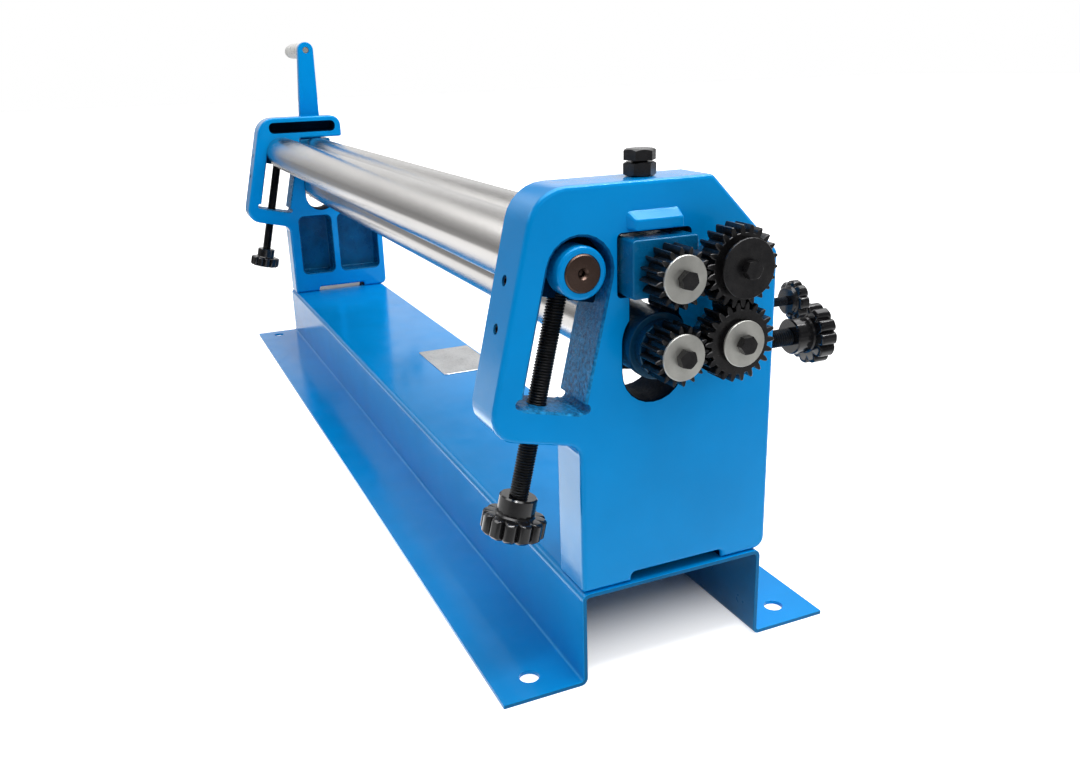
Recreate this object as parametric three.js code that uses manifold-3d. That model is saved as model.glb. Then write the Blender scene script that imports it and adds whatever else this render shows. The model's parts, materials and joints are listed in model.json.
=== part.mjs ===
// A bench slip roll for bending sheet metal: two pinch rolls and a bending roll between
// two cast end frames on a folded steel base, gears at one end and a crank at the other.
// Millimetres, +Z up, +X towards the gear side, +Y towards the adjusting knobs of the
// lower roll. Heights of the head are counted from the top face of the base.

import * as THREE from "three";
import { mergeVertices } from "three/addons/utils/BufferGeometryUtils.js";
import Module from "manifold-3d";

const wasm = await Module();
wasm.setup();

// Clearances and facets
const gap = 0.3;
const overrun = 1;
const roundSides = 16;
const rollSides = 28;
const arcSteps = 4;
const knobStepsPerLobe = 4;
const setScrewSides = 8;
const socketSides = 6;

// Base
const baseLength = 1000;
const baseTopWidth = 134.6;
const baseHeight = 66;
const baseSheet = 3;
const baseBend = 5;
const flangeWidth = 56;
const flangeHoleRadius = 6.5;
const flangeHoleFromEnd = 21;
const flangeHoleFromEdge = 26.3;

// Data plate
const plateLength = 96;
const plateWidth = 60;
const plateThickness = 1;
const plateFromGearEnd = 473;
const plateShift = 31.5;
const plateBond = 0.1;

// End frames
const frameThickness = 36;
const frameInset = 1;
const roofThickness = 29.5;
const footRear = 66;
const frameFront = 71.4;
const frontChamferWidth = 48.5;
const frontChamferHeight = 50;
const frontCorner = 6;
const footCorner = 2;
const toeCorner = 10;
const topCorner = 25;
const armCorner = 17;
const armFillet = 10;
const archRear = 31;
const archFront = 37;
const archHeight = 6;
const archCorner = 3;
const slant = THREE.MathUtils.degToRad(13.4);
const slotRear = 64.7;
const slotOverUpperRoll = 3.1;
const slotRadius = 20.2;
const slotDepth = 82.5;
const slotCorner = 3;
const armWall = 17;
const armFloor = 20.8;
const webThickness = 14;
const footPocketUnderRoll = 45;
const footPocketBottom = 28;
const footPocketEdge = 9.4;
const footRib = 10.5;
const footRibRear = 5.5;
const pocketCorner = 5;
const topPocketRear = 79;
const topPocketFront = 12.8;
const topPocketWall = 7.5;
const topPocketHeight = 13;
const gearSidePocketDepth = 10;
const reliefRadius = 3.2;
const reliefReach = 1.2;
const roofFront = 22.4;
const roofTipRadius = 14;
const topPocketCornerShare = 0.4;
const lugRear = 15;
const lugFront = 16.2;
const lugReach = 6.3;
const lugRise = 12.8;
const lugFrontRise = 8;
const lugUnder = 1.8;

// Rolls
const rollRadius = 22;
const rollChamfer = 1.5;
const rollEndGap = 2.5;
const pinchRear = 16.5;
const lowerRollHeight = 157;
const pinchGap = 1.2;
const journalRadius = 10;
const bendingJournalRadius = 11.1;
const seatRadius = 9;
const centreHoleRadius = 2;
const centreHoleDepth = 4;

// Bearing windows and blocks
const windowHalfWidth = 24;
const windowRoof = 22.3;
const windowLedge = 14;
const neckHalfWidth = 16.1;
const lowerWindowRadius = 21;
const lowerWindowDrop = 15;
const lowerWindowRise = 2.6;
const blockClearance = 2.5;
const blockRoofClearance = 2;
const blockCorner = 2;
const throatClearance = 0.5;
const blockReach = 13;
const crankBlockReach = 4;
const blockSetback = 1;
const lowerCollarReach = 6.5;
const lowerHubRadius = 17;
const seatReach = 24;
const bendingBlockDrop = 18;
const bendingBlockSetback = 13;
const bendingBossRadius = 15.5;
const bendingBossReach = 3;
const bendingDiscReach = 4;

// Gears
const gearModule = 2;
const rollGearTeeth = 16;
const idlerTeeth = 22;
const toothThinning = 0.57;
const idlerThinning = 0.3;
const meshClearance = 0.6;
const idlerClearance = 0.4;
const lowerMeshAngle = THREE.MathUtils.degToRad(5.34);
const pressureAngle = THREE.MathUtils.degToRad(20);
const addendumShare = 1;
const dedendumShare = 1.25;
const rollGearWidth = 18.9;
const restLag = 0.35;
const keyWidth = 5;
const keyLength = 14;
const idlerBack = 16.5;
const idlerWidth = 16.5;
const idlerBossRadius = 13;
const lowerIdlerBoss = 2;
const upperIdlerBoss = 4;
const axleRadius = 8;
const axleShoulderRadius = 11;
const washerRadius = 13.8;
const discRadius = 17.5;
const washerThickness = 1.6;

// Fasteners
const gearBoltRadius = 3;
const gearBoltFlats = 10;
const gearBoltHead = 5;
const gearBoltLength = 22;
const idlerBoltDepth = 8.5;
const clampBoltRadius = 5;
const clampBoltFlats = 17;
const clampBoltHead = 6.4;
const clampNutHeight = 8;
const clampBoltShow = 1;
const frameBoltLength = 25;
const frameBoltRear = 48.5;
const frameBoltFront = 53.5;
const setScrewRadius = 3;
const setScrewSocketRadius = 1.6;
const setScrewSocketDepth = 3;
const setScrewInset = 0.8;
const upperSetScrewDrop = 12.2;
const lowerSetScrewDrop = 40.5;

// Adjusting screws and star knobs
const screwRadius = 6;
const screwChamfer = 1;
const bendingScrewShift = 2.6;
const bendingScrewEngagement = 3.4;
const bendingKnobDrop = 141.2;
const knobRadius = 20.25;
const knobLobes = 12;
const knobGroove = 2.6;
const knobThickness = 13;
const knobHubRadius = 11.9;
const knobHubHeight = 12.3;
const knobBoreDepth = 18;
const knobBevel = 1.6;
const lowerScrewDrop = 16;
const lowerScrewTip = 30;
const noseTipRadius = 2.7;
const noseTaperShare = 0.15;
const lowerKnobFront = 96.5;
const lockScrewRadius = 3;
const lockScrewRise = 10.3;
const lockScrewShift = 5;
const lockKnobFront = 88.5;
const lockKnobRadius = 12.8;
const lockKnobLobes = 8;
const lockKnobGroove = 1.6;
const lockKnobThickness = 8;
const lockKnobHubRadius = 9;
const lockKnobHubHeight = 3;
const lockKnobBoreDepth = 7;
const lockKnobBevel = 1;

// Crank
const crankOffset = 7.5;
const crankThickness = 12;
const crankReach = 187.6;
const crankTilt = THREE.MathUtils.degToRad(2.3);
const crankHubRadius = 17.5;
const crankTipRadius = 11;
const crankKeyLength = 9;
const pinRadius = 4.2;
const pinShoulderRadius = 5;
const pinHeadRadius = 8;
const pinHeadThickness = 3;
const gripRadius = 11;
const gripLength = 105;
const gripEndRadius = 9;
const gripEndLength = 6;

// Places worked out from the sizes
const inner = baseLength / 2 - frameInset - frameThickness;
const outer = inner + frameThickness;
const middle = inner + frameThickness / 2;
const pinchY = -pinchRear;
const upperRollHeight = lowerRollHeight + 2 * rollRadius + pinchGap;
const roofHeight = upperRollHeight + windowRoof;
const frameHeight = roofHeight + roofThickness;
const slotHeight = upperRollHeight + slotOverUpperRoll;
const slotCentre = new THREE.Vector2(-slotRear, slotHeight);
const bodyEnd = inner - rollEndGap;
const gearBack = outer + blockReach + gap;
const gearFront = gearBack + rollGearWidth;
const crankInner = outer + crankOffset;
const crankOuter = crankInner + crankThickness;
const meshDistance = (gearModule * (rollGearTeeth + idlerTeeth)) / 2 + meshClearance;
const idlerDistance = gearModule * idlerTeeth + idlerClearance;
const blockHalfWidth = windowHalfWidth - blockClearance;
const lowerBlockRadius = lowerWindowRadius - gap;

// Materials
function coat(name, colour, roughness, metalness) {
  return new THREE.MeshStandardMaterial({ name, color: colour, roughness, metalness });
}
const enamel = coat("blue_enamel", 0x0a82c8, 0.22, 0.1);
const darkEnamel = coat("block_enamel", 0x0b6f9c, 0.35, 0.1);
const groundSteel = coat("ground_steel", 0xb8b8b8, 0.3, 1);
const zincSteel = coat("zinc_steel", 0xb9bab2, 0.4, 1);
const blackSteel = coat("black_steel", 0x16161a, 0.4, 0.8);
const blackPlastic = coat("black_plastic", 0x0b0b0d, 0.3, 0);
const paleGrip = coat("pale_grip", 0xdcdcd8, 0.5, 0);

// Solids from three.js geometry
function solid(geometry) {
  const bare = geometry.clone();
  bare.deleteAttribute("normal");
  bare.deleteAttribute("uv");
  const merged = mergeVertices(bare);
  const corners = merged.index.array;
  const kept = [];
  for (let i = 0; i < corners.length; i += 3) {
    const [a, b, c] = corners.slice(i, i + 3);
    if (a !== b && b !== c && c !== a) kept.push(a, b, c);
  }
  return new wasm.Manifold(
    new wasm.Mesh({
      numProp: 3,
      vertProperties: new Float32Array(merged.attributes.position.array),
      triVerts: new Uint32Array(kept),
    }),
  );
}

function join(first, ...others) {
  return others.reduce((sum, other) => sum.add(other), first);
}

function cut(first, ...others) {
  return others.reduce((rest, other) => rest.subtract(other), first);
}

function geometryOf(body) {
  const mesh = body.getMesh();
  const geometry = new THREE.BufferGeometry();
  geometry.setAttribute("position", new THREE.BufferAttribute(mesh.vertProperties, mesh.numProp));
  geometry.setIndex(new THREE.BufferAttribute(mesh.triVerts, 1));
  geometry.computeVertexNormals();
  return geometry;
}

function piece(parent, name, body, material) {
  const mesh = new THREE.Mesh(geometryOf(body), material);
  mesh.name = name;
  parent.add(mesh);
  return mesh;
}

// Extrudes an outline drawn in (y, height) along X.
const acrossX = new THREE.Matrix4().makeBasis(
  new THREE.Vector3(0, 1, 0),
  new THREE.Vector3(0, 0, 1),
  new THREE.Vector3(1, 0, 0),
);
function prism(shape, from, to, bevel = 0) {
  const low = Math.min(from, to);
  const high = Math.max(from, to);
  const geometry = new THREE.ExtrudeGeometry(shape, {
    depth: high - low - 2 * bevel,
    curveSegments: arcSteps,
    bevelEnabled: bevel > 0,
    bevelThickness: bevel,
    bevelSize: bevel,
    bevelOffset: -bevel,
    bevelSegments: 1,
  });
  geometry.applyMatrix4(acrossX);
  geometry.translate(low + bevel, 0, 0);
  return solid(geometry);
}

// A round bar between two points.
function rod(radius, from, to, sides = roundSides) {
  const line = to.clone().sub(from);
  const geometry = new THREE.CylinderGeometry(radius, radius, line.length(), sides);
  const turn = new THREE.Quaternion().setFromUnitVectors(
    new THREE.Vector3(0, 1, 0),
    line.clone().normalize(),
  );
  geometry.applyQuaternion(turn);
  const centre = from.clone().add(to).multiplyScalar(0.5);
  geometry.translate(centre.x, centre.y, centre.z);
  return solid(geometry);
}

function rodX(radius, from, to, y, z, sides = roundSides) {
  return rod(radius, new THREE.Vector3(from, y, z), new THREE.Vector3(to, y, z), sides);
}

// Turns a profile of [x, radius] points about the X axis, at a place in (y, height).
function turned(profile, y, z, sides) {
  const points = profile.map(([x, radius]) => new THREE.Vector2(radius, x));
  const geometry = new THREE.LatheGeometry(points, sides);
  geometry.rotateZ(-Math.PI / 2);
  geometry.translate(0, y, z);
  return solid(geometry);
}

// A closed outline with a radius at each corner: [y, height, radius].
function outline(corners) {
  const shape = new THREE.Shape();
  corners.forEach(([x, y, radius], i) => {
    const here = new THREE.Vector2(x, y);
    const before = new THREE.Vector2(...corners.at(i - 1));
    const after = new THREE.Vector2(...corners[(i + 1) % corners.length]);
    const back = before.sub(here).normalize();
    const on = after.sub(here).normalize();
    const opening = Math.acos(THREE.MathUtils.clamp(back.dot(on), -1, 1));
    const reach = radius / Math.tan(opening / 2);
    const enter = here.clone().addScaledVector(back, reach);
    if (i === 0) shape.moveTo(enter.x, enter.y);
    else shape.lineTo(enter.x, enter.y);
    if (radius === 0) return;
    const towards = back.clone().add(on).normalize();
    const centre = here.clone().addScaledVector(towards, radius / Math.sin(opening / 2));
    const leave = here.clone().addScaledVector(on, reach);
    const start = Math.atan2(enter.y - centre.y, enter.x - centre.x);
    const end = Math.atan2(leave.y - centre.y, leave.x - centre.x);
    const clockwise = back.cross(on) > 0;
    shape.absarc(centre.x, centre.y, radius, start, end, clockwise);
  });
  return shape;
}

function rectangle(y0, z0, y1, z1, corner = 0) {
  return outline([
    [y0, z0, corner],
    [y1, z0, corner],
    [y1, z1, corner],
    [y0, z1, corner],
  ]);
}

// A point of the slanted slot: down along its axis, and to its rear side.
function inSlot(down, rear) {
  return new THREE.Vector2(
    slotCentre.x - down * Math.sin(slant) - rear * Math.cos(slant),
    slotCentre.y - down * Math.cos(slant) + rear * Math.sin(slant),
  );
}

function slotCorners(top, bottom, halfWidth, topCornerRadius, bottomCornerRadius) {
  return outline([
    [...inSlot(bottom, halfWidth), bottomCornerRadius],
    [...inSlot(bottom, -halfWidth), bottomCornerRadius],
    [...inSlot(top, -halfWidth), topCornerRadius],
    [...inSlot(top, halfWidth), topCornerRadius],
  ]);
}

function atSlot(x, down, rear) {
  const place = inSlot(down, rear);
  return new THREE.Vector3(x, place.x, place.y);
}

// Gears
const involute = (angle) => Math.tan(angle) - angle;

function gearOutline(teeth, thinning) {
  const pitchRadius = (gearModule * teeth) / 2;
  const baseRadius = pitchRadius * Math.cos(pressureAngle);
  const tipRadius = pitchRadius + addendumShare * gearModule;
  const rootRadius = pitchRadius - dedendumShare * gearModule;
  const halfThickness = (Math.PI * gearModule) / 2 - thinning;
  const halfPitchAngle = halfThickness / (2 * pitchRadius);
  const flank = (radius) => {
    const pressure = Math.acos(Math.min(1, baseRadius / radius));
    return halfPitchAngle + involute(pressureAngle) - involute(pressure);
  };
  const startRadius = Math.max(baseRadius, rootRadius);
  const flankPoints = [
    [rootRadius, flank(startRadius)],
    [pitchRadius, flank(pitchRadius)],
    [tipRadius, flank(tipRadius)],
  ];
  const points = [];
  for (let tooth = 0; tooth < teeth; tooth += 1) {
    const centre = (tooth * 2 * Math.PI) / teeth;
    const rising = flankPoints.map(([radius, angle]) => [radius, centre - angle]);
    const falling = flankPoints.map(([radius, angle]) => [radius, centre + angle]).reverse();
    points.push(...rising, ...falling);
  }
  return new THREE.Shape(
    points.map(([r, angle]) => new THREE.Vector2(r * Math.cos(angle), r * Math.sin(angle))),
  );
}

// The turn that puts gear B in mesh with gear A, where A has a tooth at its own turn.
function meshTurn(direction, turnA, teethA, teethB) {
  const pitchA = (2 * Math.PI) / teethA;
  const pitchB = (2 * Math.PI) / teethB;
  const shareA = (direction - turnA) / pitchA;
  return direction + Math.PI - pitchB * (0.5 - shareA);
}

function directionOf(from, to) {
  return Math.atan2(to.y - from.y, to.x - from.x);
}

// The centre that lies the given distances from two others, on the front side.
function thirdCentre(a, fromA, b, fromB) {
  const span = b.clone().sub(a);
  const length = span.length();
  const along = (fromA * fromA - fromB * fromB + length * length) / (2 * length);
  const off = Math.sqrt(fromA * fromA - along * along);
  const unit = span.normalize();
  const side = new THREE.Vector2(unit.y, -unit.x);
  const front = side.x > 0 ? 1 : -1;
  return a.clone().addScaledVector(unit, along).addScaledVector(side, front * off);
}

const lowerRollCentre = new THREE.Vector2(pinchY, lowerRollHeight);
const upperRollCentre = new THREE.Vector2(pinchY, upperRollHeight);
const lowerIdlerCentre = lowerRollCentre
  .clone()
  .add(
    new THREE.Vector2(Math.cos(lowerMeshAngle), Math.sin(lowerMeshAngle)).multiplyScalar(meshDistance),
  );
const upperIdlerCentre = thirdCentre(upperRollCentre, meshDistance, lowerIdlerCentre, idlerDistance);

// Small parts, each about its own X axis, pointing out of what it fastens
function hexagon(flats) {
  const radius = flats / 2 / Math.cos(Math.PI / 6);
  const corners = [];
  for (let i = 0; i < 6; i += 1) {
    const angle = (i * Math.PI) / 3;
    corners.push(new THREE.Vector2(radius * Math.cos(angle), radius * Math.sin(angle)));
  }
  return new THREE.Shape(corners);
}

function hexBolt(flats, head, radius, length) {
  const top = prism(hexagon(flats), 0, head);
  return join(top, rodX(radius, -length, overrun, 0, 0));
}

function ring(radius, bore, from, to) {
  const disc = rodX(radius, from, to, 0, 0);
  return cut(disc, rodX(bore, from - overrun, to + overrun, 0, 0));
}

function starOutline(radius, lobes, groove) {
  const steps = lobes * knobStepsPerLobe;
  const points = [];
  for (let i = 0; i < steps; i += 1) {
    const angle = (i * 2 * Math.PI) / steps;
    const wave = (1 + Math.cos(lobes * angle)) / 2;
    const reach = radius - groove * (1 - Math.sqrt(wave)) ** 2;
    points.push(new THREE.Vector2(reach * Math.cos(angle), reach * Math.sin(angle)));
  }
  return new THREE.Shape(points);
}

function starKnob(radius, lobes, groove, thickness, hubRadius, hubHeight, bore, depth, bevel) {
  const star = prism(starOutline(radius, lobes, groove), hubHeight, hubHeight + thickness, bevel);
  const hub = rodX(hubRadius, 0, hubHeight + bevel, 0, 0);
  return cut(join(star, hub), rodX(bore + gap, -overrun, depth, 0, 0));
}

const bigKnob = () =>
  starKnob(
    knobRadius,
    knobLobes,
    knobGroove,
    knobThickness,
    knobHubRadius,
    knobHubHeight,
    screwRadius,
    knobBoreDepth + gap,
    knobBevel,
  );

const lockKnob = () =>
  starKnob(
    lockKnobRadius,
    lockKnobLobes,
    lockKnobGroove,
    lockKnobThickness,
    lockKnobHubRadius,
    lockKnobHubHeight,
    lockScrewRadius,
    lockKnobBoreDepth + gap,
    lockKnobBevel,
  );

// Places a part that points along its own X axis.
function aim(mesh, place, direction) {
  mesh.position.copy(place);
  mesh.quaternion.setFromUnitVectors(new THREE.Vector3(1, 0, 0), direction);
  return mesh;
}

const machine = new THREE.Group();
const head = new THREE.Group();
head.position.z = baseHeight;
machine.add(head);

const sides = [
  { name: "gear_side", sign: 1, reach: blockReach },
  { name: "crank_side", sign: -1, reach: crankBlockReach },
];

// Base channel: a folded hat section with bolt holes in its flanges
function baseChannel() {
  const top = baseTopWidth / 2;
  const edge = top + flangeWidth;
  const wall = top - baseSheet;
  const inside = baseBend - baseSheet;
  const section = outline([
    [-edge, 0, 0],
    [-wall, 0, baseBend],
    [-wall, baseHeight - baseSheet, inside],
    [wall, baseHeight - baseSheet, inside],
    [wall, 0, baseBend],
    [edge, 0, 0],
    [edge, baseSheet, 0],
    [top, baseSheet, inside],
    [top, baseHeight, baseBend],
    [-top, baseHeight, baseBend],
    [-top, baseSheet, inside],
    [-edge, baseSheet, 0],
  ]);
  let body = prism(section, -baseLength / 2, baseLength / 2);
  const holeX = baseLength / 2 - flangeHoleFromEnd;
  const holeY = edge - flangeHoleFromEdge;
  for (const { sign } of sides) {
    for (const y of [-holeY, holeY]) {
      const from = new THREE.Vector3(sign * holeX, y, -overrun);
      const to = new THREE.Vector3(sign * holeX, y, baseSheet + overrun);
      body = cut(body, rod(flangeHoleRadius, from, to));
    }
    for (const y of [-frameBoltRear, frameBoltFront]) {
      const from = new THREE.Vector3(sign * middle, y, baseHeight - baseSheet - overrun);
      const to = new THREE.Vector3(sign * middle, y, baseHeight + overrun);
      body = cut(body, rod(clampBoltRadius + gap, from, to));
    }
  }
  return body;
}
piece(machine, "base_channel", baseChannel(), enamel);

function dataPlate() {
  const near = baseLength / 2 - plateFromGearEnd;
  const half = plateWidth / 2;
  const sheet = rectangle(plateShift - half, plateBond, plateShift + half, plateBond + plateThickness);
  return prism(sheet, near - plateLength, near);
}
piece(head, "data_plate", dataPlate(), zincSteel);

// End frames
function frameOutline(openFront) {
  const reach = slotRadius + armWall;
  const bottom = slotDepth + armFloor;
  const armEnd = inSlot(bottom, reach);
  const topDown = (slotHeight + reach * Math.sin(slant) - frameHeight) / Math.cos(slant);
  const topRear = inSlot(topDown, reach);
  const rootRear = (footRear - slotRear - bottom * Math.sin(slant)) / Math.cos(slant);
  const armRoot = inSlot(bottom, rootRear);
  const ledge = upperRollHeight - windowLedge;
  const foot = [
    [-footRear, gap, footCorner],
    [-archRear, gap, 0],
    [-archRear, archHeight, archCorner],
    [archFront, archHeight, archCorner],
    [archFront, gap, 0],
    [frameFront, gap, toeCorner],
  ];
  const closedFront = [
    [frameFront, frameHeight - frontChamferHeight, frontCorner],
    [frameFront - frontChamferWidth, frameHeight, frontCorner],
  ];
  const throat = [
    [frameFront, ledge, frontCorner],
    [pinchY - blockHalfWidth - throatClearance, ledge, blockCorner],
    [pinchY - blockHalfWidth - throatClearance, roofHeight, blockCorner],
    [roofFront, roofHeight, frontCorner],
    [roofFront, frameHeight, roofTipRadius],
  ];
  const rear = [
    [topRear.x, frameHeight, topCorner],
    [armEnd.x, armEnd.y, armCorner],
    [armRoot.x, armRoot.y, armFillet],
  ];
  return outline([...foot, ...(openFront ? throat : closedFront), ...rear]);
}

function bearingWindow(from, to, openFront) {
  const ledge = upperRollHeight - windowLedge;
  const low = lowerRollHeight - lowerWindowDrop;
  const high = lowerRollHeight + lowerWindowRise;
  const r = lowerWindowRadius;
  const parts = [
    prism(rectangle(pinchY - r, low, pinchY + r, high), from, to),
    rodX(r, from, to, pinchY, low, rollSides),
    rodX(r, from, to, pinchY, high, rollSides),
    prism(rectangle(pinchY - neckHalfWidth, high, pinchY + neckHalfWidth, ledge + gap), from, to),
  ];
  if (!openFront) {
    const y0 = pinchY - windowHalfWidth;
    const y1 = pinchY + windowHalfWidth;
    parts.push(prism(rectangle(y0, ledge, y1, roofHeight, blockCorner), from, to));
  }
  return join(...parts);
}

function setScrewPlaces(x) {
  const out = slotRadius + armWall;
  return [upperSetScrewDrop, lowerSetScrewDrop].map((down) => ({
    from: atSlot(x, down, slotRadius),
    to: atSlot(x, down, out),
  }));
}

function endFrame(sign, openFront) {
  const x0 = sign * (inner - overrun);
  const x1 = sign * (outer + overrun);
  const mid = sign * middle;
  const holes = [];
  holes.push(prism(slotCorners(0, slotDepth, slotRadius, 0, slotCorner), x0, x1));
  holes.push(rodX(slotRadius, x0, x1, slotCentre.x, slotCentre.y, rollSides));
  for (const side of [-1, 1]) {
    const relief = inSlot(slotDepth - reliefRadius + gap, side * (slotRadius + reliefReach));
    holes.push(rodX(reliefRadius, x0, x1, relief.x, relief.y));
  }
  holes.push(bearingWindow(x0, x1, openFront));
  const pocketEnd = sign * (outer - webThickness);
  const footSpan = [
    [-footRear + footPocketEdge + pocketCorner, -footRibRear],
    [footRib - footRibRear, frameFront - footPocketEdge],
  ];
  const footPocketTop = lowerRollHeight - footPocketUnderRoll;
  for (const [y0, y1] of footSpan) {
    holes.push(prism(rectangle(y0, footPocketBottom, y1, footPocketTop, pocketCorner), x0, pocketEnd));
  }
  const topPocketTop = frameHeight - topPocketWall;
  const topPocket = rectangle(
    -topPocketRear,
    topPocketTop - topPocketHeight,
    topPocketFront,
    topPocketTop,
    topPocketHeight * topPocketCornerShare,
  );
  holes.push(prism(topPocket, x0, openFront ? pocketEnd : sign * (inner + gearSidePocketDepth)));
  const floor = slotDepth + armFloor;
  holes.push(
    rod(
      screwRadius + gap,
      atSlot(mid, slotDepth - overrun, bendingScrewShift),
      atSlot(mid, floor + overrun, bendingScrewShift),
    ),
  );
  const across = (radius, x, height) => {
    const from = new THREE.Vector3(x, pinchY, height);
    const to = new THREE.Vector3(x, frameFront + overrun, height);
    return rod(radius + gap, from, to);
  };
  holes.push(across(screwRadius, mid, lowerRollHeight - lowerScrewDrop));
  const lockX = mid + sign * lockScrewShift;
  holes.push(across(lockScrewRadius, lockX, lowerRollHeight + lockScrewRise));
  for (const y of [-frameBoltRear, frameBoltFront]) {
    const from = new THREE.Vector3(mid, y, -overrun);
    const to = new THREE.Vector3(mid, y, frameBoltLength - baseSheet + gap);
    holes.push(rod(clampBoltRadius + gap, from, to));
  }
  for (const { from, to } of setScrewPlaces(mid)) {
    const run = to.clone().sub(from).normalize().multiplyScalar(overrun);
    holes.push(rod(setScrewRadius + gap, from.clone().sub(run), to.clone().add(run)));
  }
  return cut(prism(frameOutline(openFront), sign * inner, sign * outer), ...holes);
}

// The gear side frame also carries the idlers, the clamp bolt and a cast lug over the window
function castLug() {
  const under = roofHeight + lugUnder;
  const top = roofHeight + lugRise;
  const frontTop = roofHeight + lugFrontRise;
  const side = new THREE.Shape([
    new THREE.Vector2(outer - overrun, under),
    new THREE.Vector2(outer + lugReach, under),
    new THREE.Vector2(outer + lugReach, frontTop),
    new THREE.Vector2(outer - overrun, top),
  ]);
  const geometry = new THREE.ExtrudeGeometry(side, { depth: lugRear + lugFront, bevelEnabled: false });
  geometry.rotateX(Math.PI / 2);
  geometry.translate(0, pinchY + lugFront, 0);
  return solid(geometry);
}

function gearFrame() {
  const holes = [
    rod(
      clampBoltRadius + gap,
      new THREE.Vector3(middle, pinchY, roofHeight - overrun),
      new THREE.Vector3(middle, pinchY, frameHeight + overrun),
    ),
  ];
  for (const { x: y, y: height } of [lowerIdlerCentre, upperIdlerCentre]) {
    holes.push(rodX(gearBoltRadius + gap, outer - idlerBoltDepth - gap, outer + overrun, y, height));
  }
  return cut(join(endFrame(1, false), castLug()), ...holes);
}
piece(head, "gear_side_frame", gearFrame(), enamel);
piece(head, "crank_side_frame", endFrame(-1, true), enamel);

// Frame bolts, up through the base into the feet
for (const { name, sign } of sides) {
  const places = { rear: -frameBoltRear, front: frameBoltFront };
  for (const [place, y] of Object.entries(places)) {
    const bolt = hexBolt(clampBoltFlats, clampBoltHead, clampBoltRadius, frameBoltLength);
    const mesh = piece(head, `${name}_${place}_frame_bolt`, bolt, blackSteel);
    aim(mesh, new THREE.Vector3(sign * middle, y, -baseSheet - gap), new THREE.Vector3(0, 0, -1));
  }
}

// Set screws in the rear wall of each slot
function setScrew(length) {
  const body = rodX(setScrewRadius, -length, 0, 0, 0, setScrewSides);
  return cut(body, rodX(setScrewSocketRadius, -setScrewSocketDepth, overrun, 0, 0, socketSides));
}
for (const { name, sign } of sides) {
  setScrewPlaces(sign * middle).forEach(({ from, to }, i) => {
    const outward = to.clone().sub(from).normalize();
    const body = setScrew(armWall - setScrewInset);
    const place = ["upper", "lower"][i];
    const mesh = piece(head, `${name}_${place}_set_screw`, body, blackSteel);
    aim(mesh, to.clone().addScaledVector(outward, -setScrewInset), outward);
  });
}

// Clamp bolt and jam nut over the upper bearing block
const up = new THREE.Vector3(0, 0, 1);
const headUnder = frameHeight + gap + clampNutHeight + clampBoltShow;
const upperBlockTop = roofHeight - blockRoofClearance;
const clampLength = headUnder - upperBlockTop - gap;
const clampBolt = hexBolt(clampBoltFlats, clampBoltHead, clampBoltRadius, clampLength);
aim(
  piece(head, "clamp_bolt", clampBolt, blackSteel),
  new THREE.Vector3(middle, pinchY, headUnder),
  up,
);
const jamNut = cut(
  prism(hexagon(clampBoltFlats), 0, clampNutHeight),
  rodX(clampBoltRadius + gap, -overrun, clampNutHeight + overrun, 0, 0),
);
aim(
  piece(head, "clamp_jam_nut", jamNut, blackSteel),
  new THREE.Vector3(middle, pinchY, frameHeight + gap),
  up,
);

// Rolls
function bolted(body, end, y, z) {
  const direction = Math.sign(end);
  const depth = gearBoltLength + gap;
  return cut(body, rodX(gearBoltRadius + gap, end - direction * depth, end + direction * overrun, y, z));
}

function keyBox(x0, x1, y, z, radius, margin) {
  const half = keyWidth / 2 + margin;
  const box = rectangle(y - half, z + radius - half, y + half, z + radius + half);
  return prism(box, x0 - margin, x1 + margin);
}

const gearSeatEnd = gearFront - gap;
const gearKeyStart = gearBack + (rollGearWidth - keyLength) / 2;
const crankSeatEnd = crankOuter - gap;
const crankKeyStart = crankInner + (crankThickness - crankKeyLength) / 2;

function pinchRoll(y, z, farEnd) {
  const profile = [
    ...farEnd,
    [-bodyEnd, journalRadius],
    [-bodyEnd, rollRadius - rollChamfer],
    [-bodyEnd + rollChamfer, rollRadius],
    [bodyEnd - rollChamfer, rollRadius],
    [bodyEnd, rollRadius - rollChamfer],
    [bodyEnd, journalRadius],
    [gearBack - gap, journalRadius],
    [gearBack - gap, seatRadius],
    [gearSeatEnd, seatRadius],
    [gearSeatEnd, 0],
  ];
  const bar = bolted(turned(profile, y, z, rollSides), gearSeatEnd, y, z);
  const keySlot = keyBox(gearKeyStart, gearKeyStart + keyLength, y, z, seatRadius, gap);
  return cut(bar, keySlot);
}

const upperFarEnd = outer + crankBlockReach - blockSetback;
const upperFar = [
  [-upperFarEnd, 0],
  [-upperFarEnd, journalRadius],
];
const lowerFar = [
  [-crankSeatEnd, 0],
  [-crankSeatEnd, seatRadius],
  [-crankInner + gap, seatRadius],
  [-crankInner + gap, journalRadius],
];
const crankKeySlot = keyBox(
  -crankKeyStart - crankKeyLength,
  -crankKeyStart,
  pinchY,
  lowerRollHeight,
  seatRadius,
  gap,
);
const lowerBar = pinchRoll(pinchY, lowerRollHeight, lowerFar);
const lowerRoll = cut(bolted(lowerBar, -crankSeatEnd, pinchY, lowerRollHeight), crankKeySlot);
piece(head, "lower_roll", lowerRoll, groundSteel);
piece(head, "upper_roll", pinchRoll(pinchY, upperRollHeight, upperFar), groundSteel);

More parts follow.
